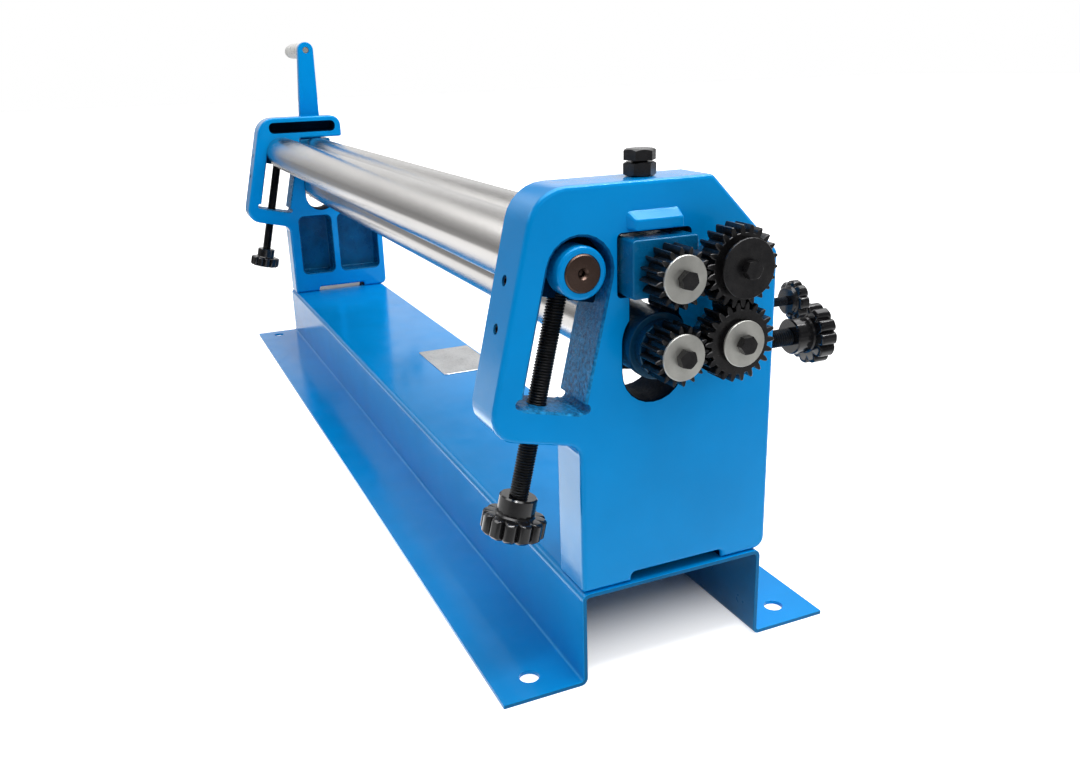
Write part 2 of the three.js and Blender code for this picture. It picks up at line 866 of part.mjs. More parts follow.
function bendingRoll() {
  const r = bendingJournalRadius;
  const near = outer + bendingDiscReach;
  const profile = [
    [-upperFarEnd, 0],
    [-upperFarEnd, r],
    [-bodyEnd, r],
    [-bodyEnd, rollRadius - rollChamfer],
    [-bodyEnd + rollChamfer, rollRadius],
    [bodyEnd - rollChamfer, rollRadius],
    [bodyEnd, rollRadius - rollChamfer],
    [bodyEnd, r],
    [near, r],
    [near, centreHoleRadius],
    [near - centreHoleDepth, 0],
  ];
  return turned(profile, slotCentre.x, slotCentre.y, rollSides);
}
piece(head, "bending_roll", bendingRoll(), groundSteel);

// Roll gears, keys, washers and bolts
const rearLag = restLag / ((gearModule * rollGearTeeth) / 2);
const lowerGearTurn = lowerMeshAngle - rearLag;
const lowerIdlerTurn = meshTurn(lowerMeshAngle, lowerMeshAngle, rollGearTeeth, idlerTeeth);
const idlerDirection = directionOf(lowerIdlerCentre, upperIdlerCentre);
const upperIdlerTurn = meshTurn(idlerDirection, lowerIdlerTurn, idlerTeeth, idlerTeeth);
const upperDirection = directionOf(upperIdlerCentre, upperRollCentre);
const upperGearTurn = meshTurn(upperDirection, upperIdlerTurn, idlerTeeth, rollGearTeeth);

function placedGear(teeth, thinning, from, to, centre, turn) {
  const geometry = new THREE.ExtrudeGeometry(gearOutline(teeth, thinning), {
    depth: to - from,
    bevelEnabled: false,
  });
  geometry.rotateZ(turn);
  geometry.applyMatrix4(acrossX);
  geometry.translate(from, centre.x, centre.y);
  return solid(geometry);
}

const outward = new THREE.Vector3(1, 0, 0);
function rollGear(name, centre, turn) {
  const blank = placedGear(rollGearTeeth, toothThinning, gearBack, gearFront, centre, turn);
  const bore = rodX(seatRadius + gap, gearBack - overrun, gearFront + overrun, centre.x, centre.y);
  const slotStart = gearBack - overrun;
  const keyway = keyBox(slotStart, gearFront + overrun, centre.x, centre.y, seatRadius, gap);
  piece(head, `${name}_roll_gear`, cut(blank, bore, keyway), blackSteel);
  const keyEnd = gearKeyStart + keyLength;
  const key = keyBox(gearKeyStart, keyEnd, centre.x, centre.y, seatRadius, 0);
  piece(head, `${name}_gear_key`, key, groundSteel);
  const washerFront = gearFront + gap + washerThickness;
  const washer = ring(washerRadius, gearBoltRadius + gap, -washerThickness, 0);
  aim(
    piece(head, `${name}_gear_washer`, washer, zincSteel),
    new THREE.Vector3(washerFront, centre.x, centre.y),
    outward,
  );
  const bolt = hexBolt(gearBoltFlats, gearBoltHead, gearBoltRadius, gearBoltLength);
  aim(
    piece(head, `${name}_gear_bolt`, bolt, blackSteel),
    new THREE.Vector3(washerFront + gap, centre.x, centre.y),
    outward,
  );
}
rollGear("lower", lowerRollCentre, lowerGearTurn);
rollGear("upper", upperRollCentre, upperGearTurn);

// Idler gears on their axles
function idler(name, centre, turn, boss, coverRadius, coverThickness, coverMaterial) {
  const back = outer + idlerBack;
  const front = back + idlerWidth;
  const blank = placedGear(idlerTeeth, idlerThinning, back, front, centre, turn);
  const hub = rodX(idlerBossRadius, front - overrun, front + boss, centre.x, centre.y, rollSides);
  const bore = rodX(axleRadius + gap, back - overrun, front + boss + overrun, centre.x, centre.y);
  piece(head, `${name}_idler_gear`, cut(join(blank, hub), bore), blackSteel);
  const axleEnd = front + boss + gap;
  const axle = join(
    rodX(axleShoulderRadius, outer + gap, back - gap, 0, 0),
    rodX(axleRadius, outer + gap, axleEnd, 0, 0),
  );
  const axleBore = rodX(gearBoltRadius + gap, outer - overrun, axleEnd + overrun, 0, 0);
  const axleMesh = piece(head, `${name}_idler_axle`, cut(axle, axleBore), groundSteel);
  axleMesh.position.set(0, centre.x, centre.y);
  const cover = ring(coverRadius, gearBoltRadius + gap, 0, coverThickness);
  aim(
    piece(head, `${name}_idler_washer`, cover, coverMaterial),
    new THREE.Vector3(axleEnd + gap, centre.x, centre.y),
    outward,
  );
  const boltUnder = axleEnd + gap + coverThickness + gap;
  const boltLength = boltUnder - outer + idlerBoltDepth;
  const bolt = hexBolt(gearBoltFlats, gearBoltHead, gearBoltRadius, boltLength);
  aim(
    piece(head, `${name}_idler_bolt`, bolt, blackSteel),
    new THREE.Vector3(boltUnder, centre.x, centre.y),
    outward,
  );
}
idler("lower", lowerIdlerCentre, lowerIdlerTurn, lowerIdlerBoss, washerRadius, washerThickness, zincSteel);
idler("upper", upperIdlerCentre, upperIdlerTurn, upperIdlerBoss, discRadius, washerThickness, blackSteel);

// Bearing blocks of the upper roll, square
function upperBlock(sign, reach) {
  const bottom = upperRollHeight - windowLedge + gap;
  const y0 = pinchY - blockHalfWidth;
  const y1 = pinchY + blockHalfWidth;
  const x0 = sign * (inner + blockSetback);
  const x1 = sign * (outer + reach);
  const body = prism(rectangle(y0, bottom, y1, upperBlockTop, blockCorner), x0, x1);
  const over = sign * overrun;
  return cut(body, rodX(journalRadius + gap, x0 - over, x1 + over, pinchY, upperRollHeight, rollSides));
}

// Bearing blocks of the lower roll, round, with a sloped roof over the screw's nose
function noseRadius(y) {
  return Math.min(screwRadius, noseTipRadius + (y + lowerScrewTip) * noseTaperShare);
}

function lowerBlock(sign, reach) {
  const x0 = sign * (inner + blockSetback);
  const x1 = sign * (outer + reach);
  const over = sign * overrun;
  const collarEnd = sign * (outer + Math.min(reach, lowerCollarReach));
  let body = rodX(lowerBlockRadius, x0, collarEnd, pinchY, lowerRollHeight, rollSides);
  if (reach > lowerCollarReach) {
    body = join(body, rodX(lowerHubRadius, x0, x1, pinchY, lowerRollHeight, rollSides));
  }
  const screwHeight = lowerRollHeight - lowerScrewDrop;
  const rear = pinchY - seatReach;
  const front = pinchY + seatReach;
  const coneEnd = (screwRadius - noseTipRadius) / noseTaperShare - lowerScrewTip;
  const bottom = screwHeight - seatReach;
  const seat = new THREE.Shape([
    new THREE.Vector2(rear, bottom),
    new THREE.Vector2(front, bottom),
    new THREE.Vector2(front, screwHeight + screwRadius + gap),
    new THREE.Vector2(coneEnd, screwHeight + screwRadius + gap),
    new THREE.Vector2(rear, screwHeight + noseRadius(rear) + gap),
  ]);
  const bore = rodX(journalRadius + gap, x0 - over, x1 + over, pinchY, lowerRollHeight, rollSides);
  return cut(body, bore, prism(seat, x0 - over, sign * outer));
}

// Bearing blocks of the bending roll, sliding in the slanted slots
function bendingBlock(sign) {
  const x0 = sign * (inner + blockSetback);
  const x1 = sign * (outer - bendingBlockSetback);
  const bossEnd = sign * (outer + bendingBossReach);
  const over = sign * overrun;
  const half = slotRadius - gap;
  const { x: y, y: z } = slotCentre;
  const slider = cut(
    join(
      prism(slotCorners(0, bendingBlockDrop, half, 0, 0), x0, x1),
      rodX(half, x0, x1, y, z, rollSides),
    ),
    prism(slotCorners(bendingBlockDrop, slotDepth, slotRadius, 0, 0), x0 - over, x1 + over),
  );
  const body = join(slider, rodX(bendingBossRadius, x1 - over, bossEnd, y, z, rollSides));
  const screwTop = bendingBlockDrop - bendingScrewEngagement - gap;
  const screwHole = rod(
    screwRadius + gap,
    atSlot(sign * middle, screwTop, bendingScrewShift),
    atSlot(sign * middle, bendingBlockDrop + overrun, bendingScrewShift),
  );
  const bore = rodX(bendingJournalRadius + gap, x0 - over, bossEnd + over, y, z, rollSides);
  return cut(body, bore, screwHole);
}

for (const { name, sign, reach } of sides) {
  piece(head, `${name}_upper_block`, upperBlock(sign, reach), darkEnamel);
  piece(head, `${name}_lower_block`, lowerBlock(sign, reach), darkEnamel);
  piece(head, `${name}_bending_block`, bendingBlock(sign), enamel);
}

// Screws: a chamfered bar from its tip at the start to its end in the knob
function plainScrew(radius, length) {
  const bevel = Math.min(screwChamfer, radius / 2);
  const profile = [
    [-length, 0],
    [-length, radius - bevel],
    [-length + bevel, radius],
    [-bevel, radius],
    [0, radius - bevel],
    [0, 0],
  ];
  return turned(profile, 0, 0, roundSides);
}

const downSlot = new THREE.Vector3(0, -Math.sin(slant), -Math.cos(slant));
const screwTipDown = bendingBlockDrop - bendingScrewEngagement;
for (const { name, sign } of sides) {
  const length = bendingKnobDrop + knobBoreDepth - screwTipDown;
  const end = atSlot(sign * middle, bendingKnobDrop + knobBoreDepth, bendingScrewShift);
  aim(piece(head, `${name}_bending_screw`, plainScrew(screwRadius, length), blackSteel), end, downSlot);
  const knobPlace = atSlot(sign * middle, bendingKnobDrop, bendingScrewShift);
  aim(piece(head, `${name}_bending_knob`, bigKnob(), blackPlastic), knobPlace, downSlot);
}

// The lower screws lift the lower blocks on their tapered noses
function lowerScrew() {
  const end = lowerKnobFront + knobBoreDepth;
  const coneEnd = (screwRadius - noseTipRadius) / noseTaperShare - lowerScrewTip;
  const round = noseTipRadius / 2;
  const profile = [
    [-lowerScrewTip, 0],
    [-lowerScrewTip, round],
    [-lowerScrewTip + round, noseTipRadius],
    [coneEnd, screwRadius],
    [end - screwChamfer, screwRadius],
    [end, screwRadius - screwChamfer],
    [end, 0],
  ];
  return turned(profile, 0, 0, roundSides);
}

const toFront = new THREE.Vector3(0, 1, 0);
for (const { name, sign } of sides) {
  const height = lowerRollHeight - lowerScrewDrop;
  const screwPlace = new THREE.Vector3(sign * middle, 0, height);
  aim(piece(head, `${name}_lower_screw`, lowerScrew(), blackSteel), screwPlace, toFront);
  const knobPlace = new THREE.Vector3(sign * middle, lowerKnobFront, height);
  aim(piece(head, `${name}_lower_knob`, bigKnob(), blackPlastic), knobPlace, toFront);
  const lockX = sign * (middle + lockScrewShift);
  const lockHeight = lowerRollHeight + lockScrewRise;
  const lockTip = pinchY + lowerBlockRadius + gap;
  const lockEnd = lockKnobFront + lockKnobBoreDepth;
  const lockScrew = plainScrew(lockScrewRadius, lockEnd - lockTip);
  const lockPlace = new THREE.Vector3(lockX, lockEnd, lockHeight);
  aim(piece(head, `${name}_lock_screw`, lockScrew, blackSteel), lockPlace, toFront);
  const lockKnobPlace = new THREE.Vector3(lockX, lockKnobFront, lockHeight);
  aim(piece(head, `${name}_lock_knob`, lockKnob(), blackPlastic), lockKnobPlace, toFront);
}

// Crank on the far end of the lower roll
const crankTip = new THREE.Vector2(
  pinchY + crankReach * Math.sin(crankTilt),
  lowerRollHeight + crankReach * Math.cos(crankTilt),
);

function crankArm() {
  const lean = Math.asin((crankHubRadius - crankTipRadius) / crankReach);
  const hubEnd = Math.PI - lean;
  const shape = new THREE.Shape();
  shape.absarc(0, 0, crankHubRadius, hubEnd, lean, false);
  shape.absarc(0, crankReach, crankTipRadius, lean, hubEnd, false);
  const geometry = new THREE.ExtrudeGeometry(shape, {
    depth: crankThickness,
    curveSegments: roundSides,
    bevelEnabled: false,
  });
  geometry.rotateZ(-crankTilt);
  geometry.applyMatrix4(acrossX);
  geometry.translate(-crankOuter, pinchY, lowerRollHeight);
  const from = -crankOuter - overrun;
  const to = -crankInner + overrun;
  return cut(
    solid(geometry),
    rodX(seatRadius + gap, from, to, pinchY, lowerRollHeight),
    keyBox(from, to, pinchY, lowerRollHeight, seatRadius, gap),
    rodX(pinRadius + gap, from, to, crankTip.x, crankTip.y),
  );
}
piece(head, "crank_arm", crankArm(), enamel);
const crankKeyEnd = -crankKeyStart;
const crankKey = keyBox(
  crankKeyEnd - crankKeyLength,
  crankKeyEnd,
  pinchY,
  lowerRollHeight,
  seatRadius,
  0,
);
piece(head, "crank_key", crankKey, groundSteel);

const away = new THREE.Vector3(-1, 0, 0);
const crankWasher = ring(washerRadius, gearBoltRadius + gap, 0, washerThickness);
aim(
  piece(head, "crank_washer", crankWasher, zincSteel),
  new THREE.Vector3(-crankOuter - gap, pinchY, lowerRollHeight),
  away,
);
const crankBolt = hexBolt(gearBoltFlats, gearBoltHead, gearBoltRadius, gearBoltLength);
aim(
  piece(head, "crank_bolt", crankBolt, blackSteel),
  new THREE.Vector3(-crankOuter - washerThickness - 2 * gap, pinchY, lowerRollHeight),
  away,
);

// The grip turns on a shouldered pin in the end of the arm
const pinProfile = [
  [gap, 0],
  [gap, pinRadius],
  [crankThickness + gap, pinRadius],
  [crankThickness + gap, pinShoulderRadius],
  [crankThickness + 3 * gap + gripLength, pinShoulderRadius],
  [crankThickness + 3 * gap + gripLength, pinHeadRadius],
  [crankThickness + 3 * gap + gripLength + pinHeadThickness, pinHeadRadius],
  [crankThickness + 3 * gap + gripLength + pinHeadThickness, 0],
];
const pinPlace = new THREE.Vector3(-crankInner, crankTip.x, crankTip.y);
aim(piece(head, "crank_pin", turned(pinProfile, 0, 0, roundSides), groundSteel), pinPlace, away);

function crankGrip() {
  const start = crankThickness + 2 * gap;
  const end = start + gripLength;
  const profile = [
    [start, 0],
    [start, gripEndRadius],
    [start + gripEndLength, gripRadius],
    [end - gripEndLength, gripRadius],
    [end, gripEndRadius],
    [end, 0],
  ];
  const body = turned(profile, 0, 0, roundSides);
  return cut(body, rodX(pinShoulderRadius + gap, start - overrun, end + overrun, 0, 0));
}
aim(piece(head, "crank_grip", crankGrip(), paleGrip), pinPlace, away);

// The origin is the middle of the whole part's footprint, on the floor.
machine.updateMatrixWorld(true);
const extent = new THREE.Box3().setFromObject(machine);
const centre = extent.getCenter(new THREE.Vector3());
machine.position.set(-centre.x, -centre.y, -extent.min.z);

export default machine;
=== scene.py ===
import json
from math import acos, atan2, cos, pi, radians, sin, sqrt, tan

import bmesh
import bpy
from mathutils import Matrix, Vector


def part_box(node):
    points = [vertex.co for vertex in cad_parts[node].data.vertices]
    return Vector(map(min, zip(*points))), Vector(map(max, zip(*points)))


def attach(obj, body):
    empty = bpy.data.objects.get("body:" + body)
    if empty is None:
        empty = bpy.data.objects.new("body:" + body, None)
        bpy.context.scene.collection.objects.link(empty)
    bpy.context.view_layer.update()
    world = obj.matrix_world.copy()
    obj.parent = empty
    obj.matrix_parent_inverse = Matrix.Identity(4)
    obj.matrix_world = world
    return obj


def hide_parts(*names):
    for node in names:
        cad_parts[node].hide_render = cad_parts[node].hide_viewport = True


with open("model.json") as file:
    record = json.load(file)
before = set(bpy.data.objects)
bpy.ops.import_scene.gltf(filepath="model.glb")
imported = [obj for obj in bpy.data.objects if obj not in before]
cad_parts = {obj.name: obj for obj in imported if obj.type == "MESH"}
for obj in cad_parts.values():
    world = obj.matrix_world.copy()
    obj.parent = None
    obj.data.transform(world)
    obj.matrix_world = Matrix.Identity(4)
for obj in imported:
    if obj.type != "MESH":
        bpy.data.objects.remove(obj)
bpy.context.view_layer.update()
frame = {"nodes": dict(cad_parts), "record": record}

# The look of a bench slip roll, drawn in millimetres about the middle of the base's top face:
# x along the rolls to the gear side, y to the front with the adjusting knobs, z up.

record = frame["record"]
body_of = {node: body for body, nodes in record["behaviour"]["bodies"].items() for node in nodes}

MM = 0.001
base_low, base_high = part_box("base_channel")
ORIGIN = Vector(((base_low.x + base_high.x) / 2, (base_low.y + base_high.y) / 2, base_high.z))
SIDES = {"gear_side": 1, "crank_side": -1}

# Sizes shared with the solids, in millimetres
GAP = 0.3
OVER = 1
BASE_LENGTH = 1000
BASE_TOP_WIDTH = 134.6
BASE_HEIGHT = 66
SHEET = 3
BEND = 5
FLANGE_WIDTH = 56
FLANGE_HOLE_RADIUS = 6.5
FLANGE_HOLE_FROM_END = 21
FLANGE_HOLE_FROM_EDGE = 26.3

# End frames, their slots and the centres of the rolls
INNER = 463
OUTER = 499
MIDDLE = 481
FRAME_HEIGHT = 254
FRAME_REAR = 66
FRAME_FRONT = 71.4
NOTCH_REAR = -31
NOTCH_FRONT = 37
NOTCH_HEIGHT = 6
WEB = 14
FOOT_POCKETS = ((-51.6, 28, -5.5, 112), (5, 28, 62, 112))
TOP_POCKET = (-79, 233.5, 12.8, 246.5)
TOP_POCKET_DEPTH = 10
SLANT = radians(13.4)
SLOT_Y = -64.7
SLOT_Z = 205.3
SLOT_RADIUS = 20.2
SLOT_DEPTH = 82.5
SLOT_RELIEF = 3.2
ARM_WALL = 17
ARM_FLOOR = 20.8
PINCH_Y = -16.5
LOWER_Z = 157
UPPER_Z = 202.2
LOWER = Vector((PINCH_Y, LOWER_Z))
UPPER = Vector((PINCH_Y, UPPER_Z))
LEDGE = UPPER_Z - 14
ROOF = UPPER_Z + 22.3
THROAT_TOP = 22.4
LUG_REACH = 6.3
LUG_EDGE = 1.8
LUG_SLOPE = 4.5
LUG_REAR = PINCH_Y - 15
LUG_FRONT = PINCH_Y + 16.2

# Rolls and bearing blocks
ROLL_RADIUS = 22
BODY_END = 460.5
JOURNAL = 10
SEAT = 9
BENDING_JOURNAL = 11.1
BLOCK_TOP = ROOF - 2
BLOCK_HALF_WIDTH = 21.5
BLOCK_REACH = {"gear_side": 13, "crank_side": 4}
COLLAR_REACH = 6.5
COLLAR_RADIUS = 20.7
HUB_RADIUS = 17
BENDING_BLOCK_FOOT = 18
BENDING_BLOCK_INSET = 13
BOSS_RADIUS = 15.5
BOSS_REACH = 3

# Screws and bolts; a bolt is (flats, head height, radius, pitch)
THREAD_DEPTH = 0.58
SCREW_RADIUS = 6
SCREW_PITCH = 1.75
SCREW_SHIFT = 2.6
SCREW_NOSE = 2.7
NOSE_TAPER = 0.15
NOSE_START = -30
BENDING_SCREW_TIP = 14.6
BENDING_KNOB_DOWN = 141.2
LOWER_SCREW_Z = LOWER_Z - 16
LOWER_KNOB_Y = 96.5
LOCK_RADIUS = 3
LOCK_PITCH = 1
LOCK_SHIFT = 5
LOCK_Z = LOWER_Z + 10.3
LOCK_KNOB_Y = 88.5
SET_SCREWS = {"upper": 12.2, "lower": 40.5}
SET_SCREW_RADIUS = 3
SET_SCREW_PITCH = 1
SET_SCREW_SUNK = 0.8
BOLT_RADIUS = 5
M10 = (17, 6.4, BOLT_RADIUS, 1.5)
FRAME_BOLTS = {"rear": -48.5, "front": 53.5}
FRAME_BOLT_LENGTH = 25
JAM_NUT = 8
GEAR_BOLT = 3
M6 = (10, 5, GEAR_BOLT, 1)
GEAR_BOLT_LENGTH = 22
WASHER = 1.6
WASHER_RADIUS = 13.8
WIDE_WASHER_RADIUS = 17.5

# Gears
MODULE = 2
PRESSURE = radians(20)
MESH_ANGLE = radians(5.34)
ROLL_TEETH = 16
IDLER_TEETH = 22
MESH_DISTANCE = MODULE * (ROLL_TEETH + IDLER_TEETH) / 2 + 0.6
IDLER_DISTANCE = MODULE * IDLER_TEETH + 0.4
GEAR_BACK = 512.3
GEAR_FRONT = 531.2
IDLER_BACK = 515.5
IDLER_FRONT = 532
AXLE_RADIUS = 8
AXLE_BOLT_DEPTH = 8.5
IDLER_BOSS_RADIUS = 13
ROLL_GEAR_PLAY = 0.57
IDLER_PLAY = 0.3

# Crank
CRANK_INNER = 506.5
CRANK_OUTER = 518.5
CRANK_REACH = 187.6
CRANK_TILT = radians(2.3)
CRANK_ROOT_RADIUS = 17.5
CRANK_TIP_RADIUS = 11
PIN_RADIUS = 5
PIN_SEAT = 4.2
GRIP_START = 12.6
GRIP_LENGTH = 105
GRIP_MOUTH = 7.8
GRIP_END_RADIUS = 9
GRIP_SWELL = 2

# A corner radius just under half a side, so that no edge comes out with no length
ALMOST = 0.998


def at(x, y, z):
    return ORIGIN + Vector((x, y, z)) * MM


def in_slot(down, rear):
    """(y, z) of a point this far down the sloping slot and behind its middle line."""
    y = SLOT_Y - down * sin(SLANT) - rear * cos(SLANT)
    z = SLOT_Z - down * cos(SLANT) + rear * sin(SLANT)
    return y, z


# Outlines: corners are (u, v, radius), and a radius of None is a plain point
ARC_STEPS = 6
LEAST_RADIUS = 0.05


def rounded(corners, inset=0.0):
    """The points of a closed outline, moved inwards by inset."""
    corners = list(corners)
    spots = [Vector(c[:2]) for c in corners]
    count = len(spots)
    area = sum(spots[i - 1].cross(spots[i]) for i in range(count))
    if area < 0:
        corners.reverse()
        spots.reverse()
    points = []
    for i, here in enumerate(spots):
        coming = (here - spots[i - 1]).normalized()
        going = (spots[(i + 1) % count] - here).normalized()
        left = Vector((-coming.y, coming.x))
        next_left = Vector((-going.y, going.x))
        spot = here + (left + next_left) * inset / (1 + left.dot(next_left))
        radius = corners[i][2]
        if radius is None:
            points.append(spot)
            continue
        bulge = 1 if coming.cross(going) > 0 else -1
        radius = max(radius - bulge * inset, LEAST_RADIUS)
        turn = acos(max(-1, min(1, coming.dot(going))))
        reach = radius * tan(turn / 2)
        start = spot - coming * reach
        centre = start + left * radius * bulge
        first = atan2(start.y - centre.y, start.x - centre.x)
        for step in range(ARC_STEPS + 1):
            angle = first + bulge * turn * step / ARC_STEPS
            points.append(centre + Vector((cos(angle), sin(angle))) * radius)
    return points


def rim(radius, steps=3):
    """(depth, inset) pairs of a rounded edge, from the face inwards."""
    turns = [pi / 2 * step / steps for step in range(steps + 1)]
    return [(radius * (1 - cos(t)), radius * (1 - sin(t))) for t in turns]


# Meshes
def circle(x, radius, sides):
    turns = [2 * pi * i / sides for i in range(sides)]
    return [Vector((x, radius * cos(t), radius * sin(t))) for t in turns]


def loft(rings, loop=False):
    """A closed body through rings of points, each with the same count; a loop has no ends."""
    verts = [point for ring in rings for point in ring]
    count = len(rings[0])
    faces = []
    for k in range(len(rings) if loop else len(rings) - 1):
        low, high = k * count, (k + 1) % len(rings) * count
        for i in range(count):
            j = (i + 1) % count
            faces.append((low + i, low + j, high + j, high + i))
    if not loop:
        faces.append(tuple(range(count))[::-1])
        faces.append(tuple(range(len(verts) - count, len(verts))))
    return verts, faces


def build(name, bodies, materials, angle=40):
    """A mesh object of one or more (verts, faces) bodies, in local millimetres."""
    bm = bmesh.new()
    for verts, faces in bodies:
        made = [bm.verts.new(v) for v in verts]
        for face in faces:
            bm.faces.new([made[i] for i in face])
    bmesh.ops.remove_doubles(bm, verts=bm.verts, dist=1e-4)
    bmesh.ops.dissolve_degenerate(bm, edges=bm.edges, dist=1e-5)
    bmesh.ops.recalc_face_normals(bm, faces=bm.faces)
    mesh = bpy.data.meshes.new(name)
    bm.to_mesh(mesh)
    bm.free()
    obj = bpy.data.objects.new(name, mesh)
    bpy.context.scene.collection.objects.link(obj)
    for material in materials:
        mesh.materials.append(material)
    finish_normals(mesh, angle)
    return obj


def finish_normals(mesh, angle):
    mesh.polygons.foreach_set("use_smooth", [True] * len(mesh.polygons))
    mesh.set_sharp_from_angle(angle=radians(angle))


def combine(obj, others, operation, angle=40):
    """Cuts the others out of obj, or joins them on, and removes them."""
    for other in others:
        step = obj.modifiers.new("combine", "BOOLEAN")
        step.operation = operation
        step.solver = "EXACT"
        step.material_mode = "TRANSFER"
        step.object = other
    graph = bpy.context.evaluated_depsgraph_get()
    mesh = bpy.data.meshes.new_from_object(obj.evaluated_get(graph))
    obj.modifiers.clear()
    obj.data = mesh
    mesh.name = obj.name
    for other in others:
        bpy.data.objects.remove(other)
    bm = bmesh.new()
    bm.from_mesh(mesh)
    bmesh.ops.remove_doubles(bm, verts=bm.verts, dist=1e-3)
    bmesh.ops.dissolve_degenerate(bm, edges=bm.edges, dist=1e-4)
    bm.to_mesh(mesh)
    bm.free()
    finish_normals(mesh, angle)
    return obj


def cut(obj, others, angle=40):
    return combine(obj, others, "DIFFERENCE", angle)


def join(obj, others, angle=40):
    return combine(obj, others, "UNION", angle)


def place(obj, *nodes):
    """Puts a piece in the frame, in metres, in place of its CAD nodes."""
    obj.data.transform(Matrix.Translation(ORIGIN) @ Matrix.Scale(MM, 4))
    obj.data.update()
    step = obj.modifiers.new("even normals", "WEIGHTED_NORMAL")
    step.keep_sharp = True
    step.weight = 100
    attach(obj, body_of[nodes[0]])
    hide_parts(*nodes)
    return obj


def across(corners, x0, x1, edge=0.0, steps=3, flare=0.0):
    """A body of an outline in (y, z) between two planes of x, its rims rounded or flared."""
    sign = 1 if x1 > x0 else -1
    if flare:
        first = [(x0 - sign * OVER, -flare)]
        first += [(x0 + sign * d, -flare + i) for d, i in flipped(flare, steps)]
        last = [(x1 - sign * d, -flare + i) for d, i in reversed(flipped(flare, steps))]
        levels = first + last + [(x1 + sign * OVER, -flare)]
    elif edge:
        levels = [(x0 + sign * d, i) for d, i in rim(edge, steps)]
        levels += [(x1 - sign * d, i) for d, i in reversed(rim(edge, steps))]
    else:
        levels = [(x0, 0.0), (x1, 0.0)]
    rings = [[Vector((x, p.x, p.y)) for p in rounded(corners, inset)] for x, inset in levels]
    return loft(rings)


def flipped(radius, steps):
    """(depth, inset from the flared mouth) pairs of a hole's rounded rim."""
    turns = [pi / 2 * step / steps for step in range(steps + 1)]
    return [(radius * (1 - cos(t)), radius * sin(t)) for t in turns]


def pocket(corners, face, depth, sign, lip=1.5, fillet=3.0, draft=1.2):
    """A blind cutter from the plane x = face inwards, with a rounded lip, floor and draft."""
    levels = [(face - sign * OVER, -lip)]
    levels += [(face + sign * d, -lip + i) for d, i in flipped(lip, 3)]
    floor = face + sign * depth
    levels += [(floor - sign * d, draft + i) for d, i in reversed(rim(fillet, 3))]
    rings = [[Vector((x, p.x, p.y)) for p in rounded(corners, inset)] for x, inset in levels]
    return loft(rings)


def turned(profile, sides=96, wave=None):
    """A body turned about x from (x, radius) pairs, its radius changed by wave(entry, angle)."""
    rings = []
    for entry in profile:
        x, radius = entry[:2]
        ring = []
        for i in range(sides):
            angle = 2 * pi * i / sides
            reach = max(radius, 0.0)
            if wave and reach > 0:
                reach = wave(entry, angle)
            ring.append(Vector((x, reach * cos(angle), reach * sin(angle))))
        rings.append(ring)
    return loft(rings)


def bar(radius, start, end, sides=48):
    """A round body between two points."""
    line = Vector(end) - Vector(start)
    return moved(turned([(0, radius), (line.length, radius)], sides), pointing(start, line))


def moved(body, matrix):
    verts, faces = body
    return [matrix @ v for v in verts], faces


def pointing(place_at, direction, roll=0.0):
    """The matrix that takes a part along its own x to a place and direction."""
    turn = Vector(direction).to_track_quat("X", "Z").to_matrix().to_4x4()
    return Matrix.Translation(Vector(place_at)) @ turn @ Matrix.Rotation(roll, 4, "X")


def box_corners(y0, z0, y1, z1, radius):
    return [(y0, z0, radius), (y1, z0, radius), (y1, z1, radius), (y0, z1, radius)]


# Materials
def nodes_of(name):
    material = bpy.data.materials.new(name)
    material.use_nodes = True
    tree = material.node_tree
    return material, tree, tree.nodes["Principled BSDF"]


def feed(tree, node, inputs):
    """Gives a node its inputs, each the output of another node or a plain value."""
    for key, source in inputs.items():
        if isinstance(source, bpy.types.NodeSocket):
            tree.links.new(source, node.inputs[key])
        else:
            node.inputs[key].default_value = source


def add(tree, kind, inputs=None, **settings):
    node = tree.nodes.new(kind)
    for key, value in settings.items():
        setattr(node, key, value)
    feed(tree, node, inputs or {})
    return node


def noise(tree, scale, stretch=(1, 1, 1), detail=3.0, roughness=0.5):
    coordinates = add(tree, "ShaderNodeTexCoord").outputs["Object"]
    mapping = add(tree, "ShaderNodeMapping", {"Vector": coordinates, "Scale": stretch})
    inputs = {"Scale": scale, "Detail": detail, "Roughness": roughness}
    inputs["Vector"] = mapping.outputs["Vector"]
    return add(tree, "ShaderNodeTexNoise", inputs).outputs["Fac"]


def spread(tree, source, low, high, start=0.3, end=0.7, interpolation_type="LINEAR"):
    """Takes a source between start and end to between low and high."""
    inputs = {"Value": source, "From Min": start, "From Max": end, "To Min": low, "To Max": high}
    node = add(tree, "ShaderNodeMapRange", inputs, interpolation_type=interpolation_type)
    return node.outputs["Result"]


def number(tree, operation, *sources):
    return add(tree, "ShaderNodeMath", dict(enumerate(sources)), operation=operation).outputs[0]


def vector(tree, operation, output, *sources):
    node = add(tree, "ShaderNodeVectorMath", dict(enumerate(sources)), operation=operation)
    return node.outputs[output]


def split(tree, source):
    return add(tree, "ShaderNodeSeparateXYZ", {"Vector": source}).outputs


def blend(tree, factor, a, b, data_type="FLOAT"):
    inputs = {"Factor": factor, "A": a, "B": b}
    return add(tree, "ShaderNodeMix", inputs, data_type=data_type).outputs["Result"]


def shade(tree, source, dark, light):
    return blend(tree, source, (*dark, 1), (*light, 1), "RGBA")


def ramp(tree, source, table):
    """A grey that follows a table of (position, value) pairs."""
    node = add(tree, "ShaderNodeValToRGB", {"Fac": source})
    stops = node.color_ramp.elements
    for k, (spot, value) in enumerate(table):
        stop = stops[k] if k < 2 else stops.new(spot)
        stop.position = spot
        stop.color = (value, value, value, 1)
    return node.outputs["Color"]


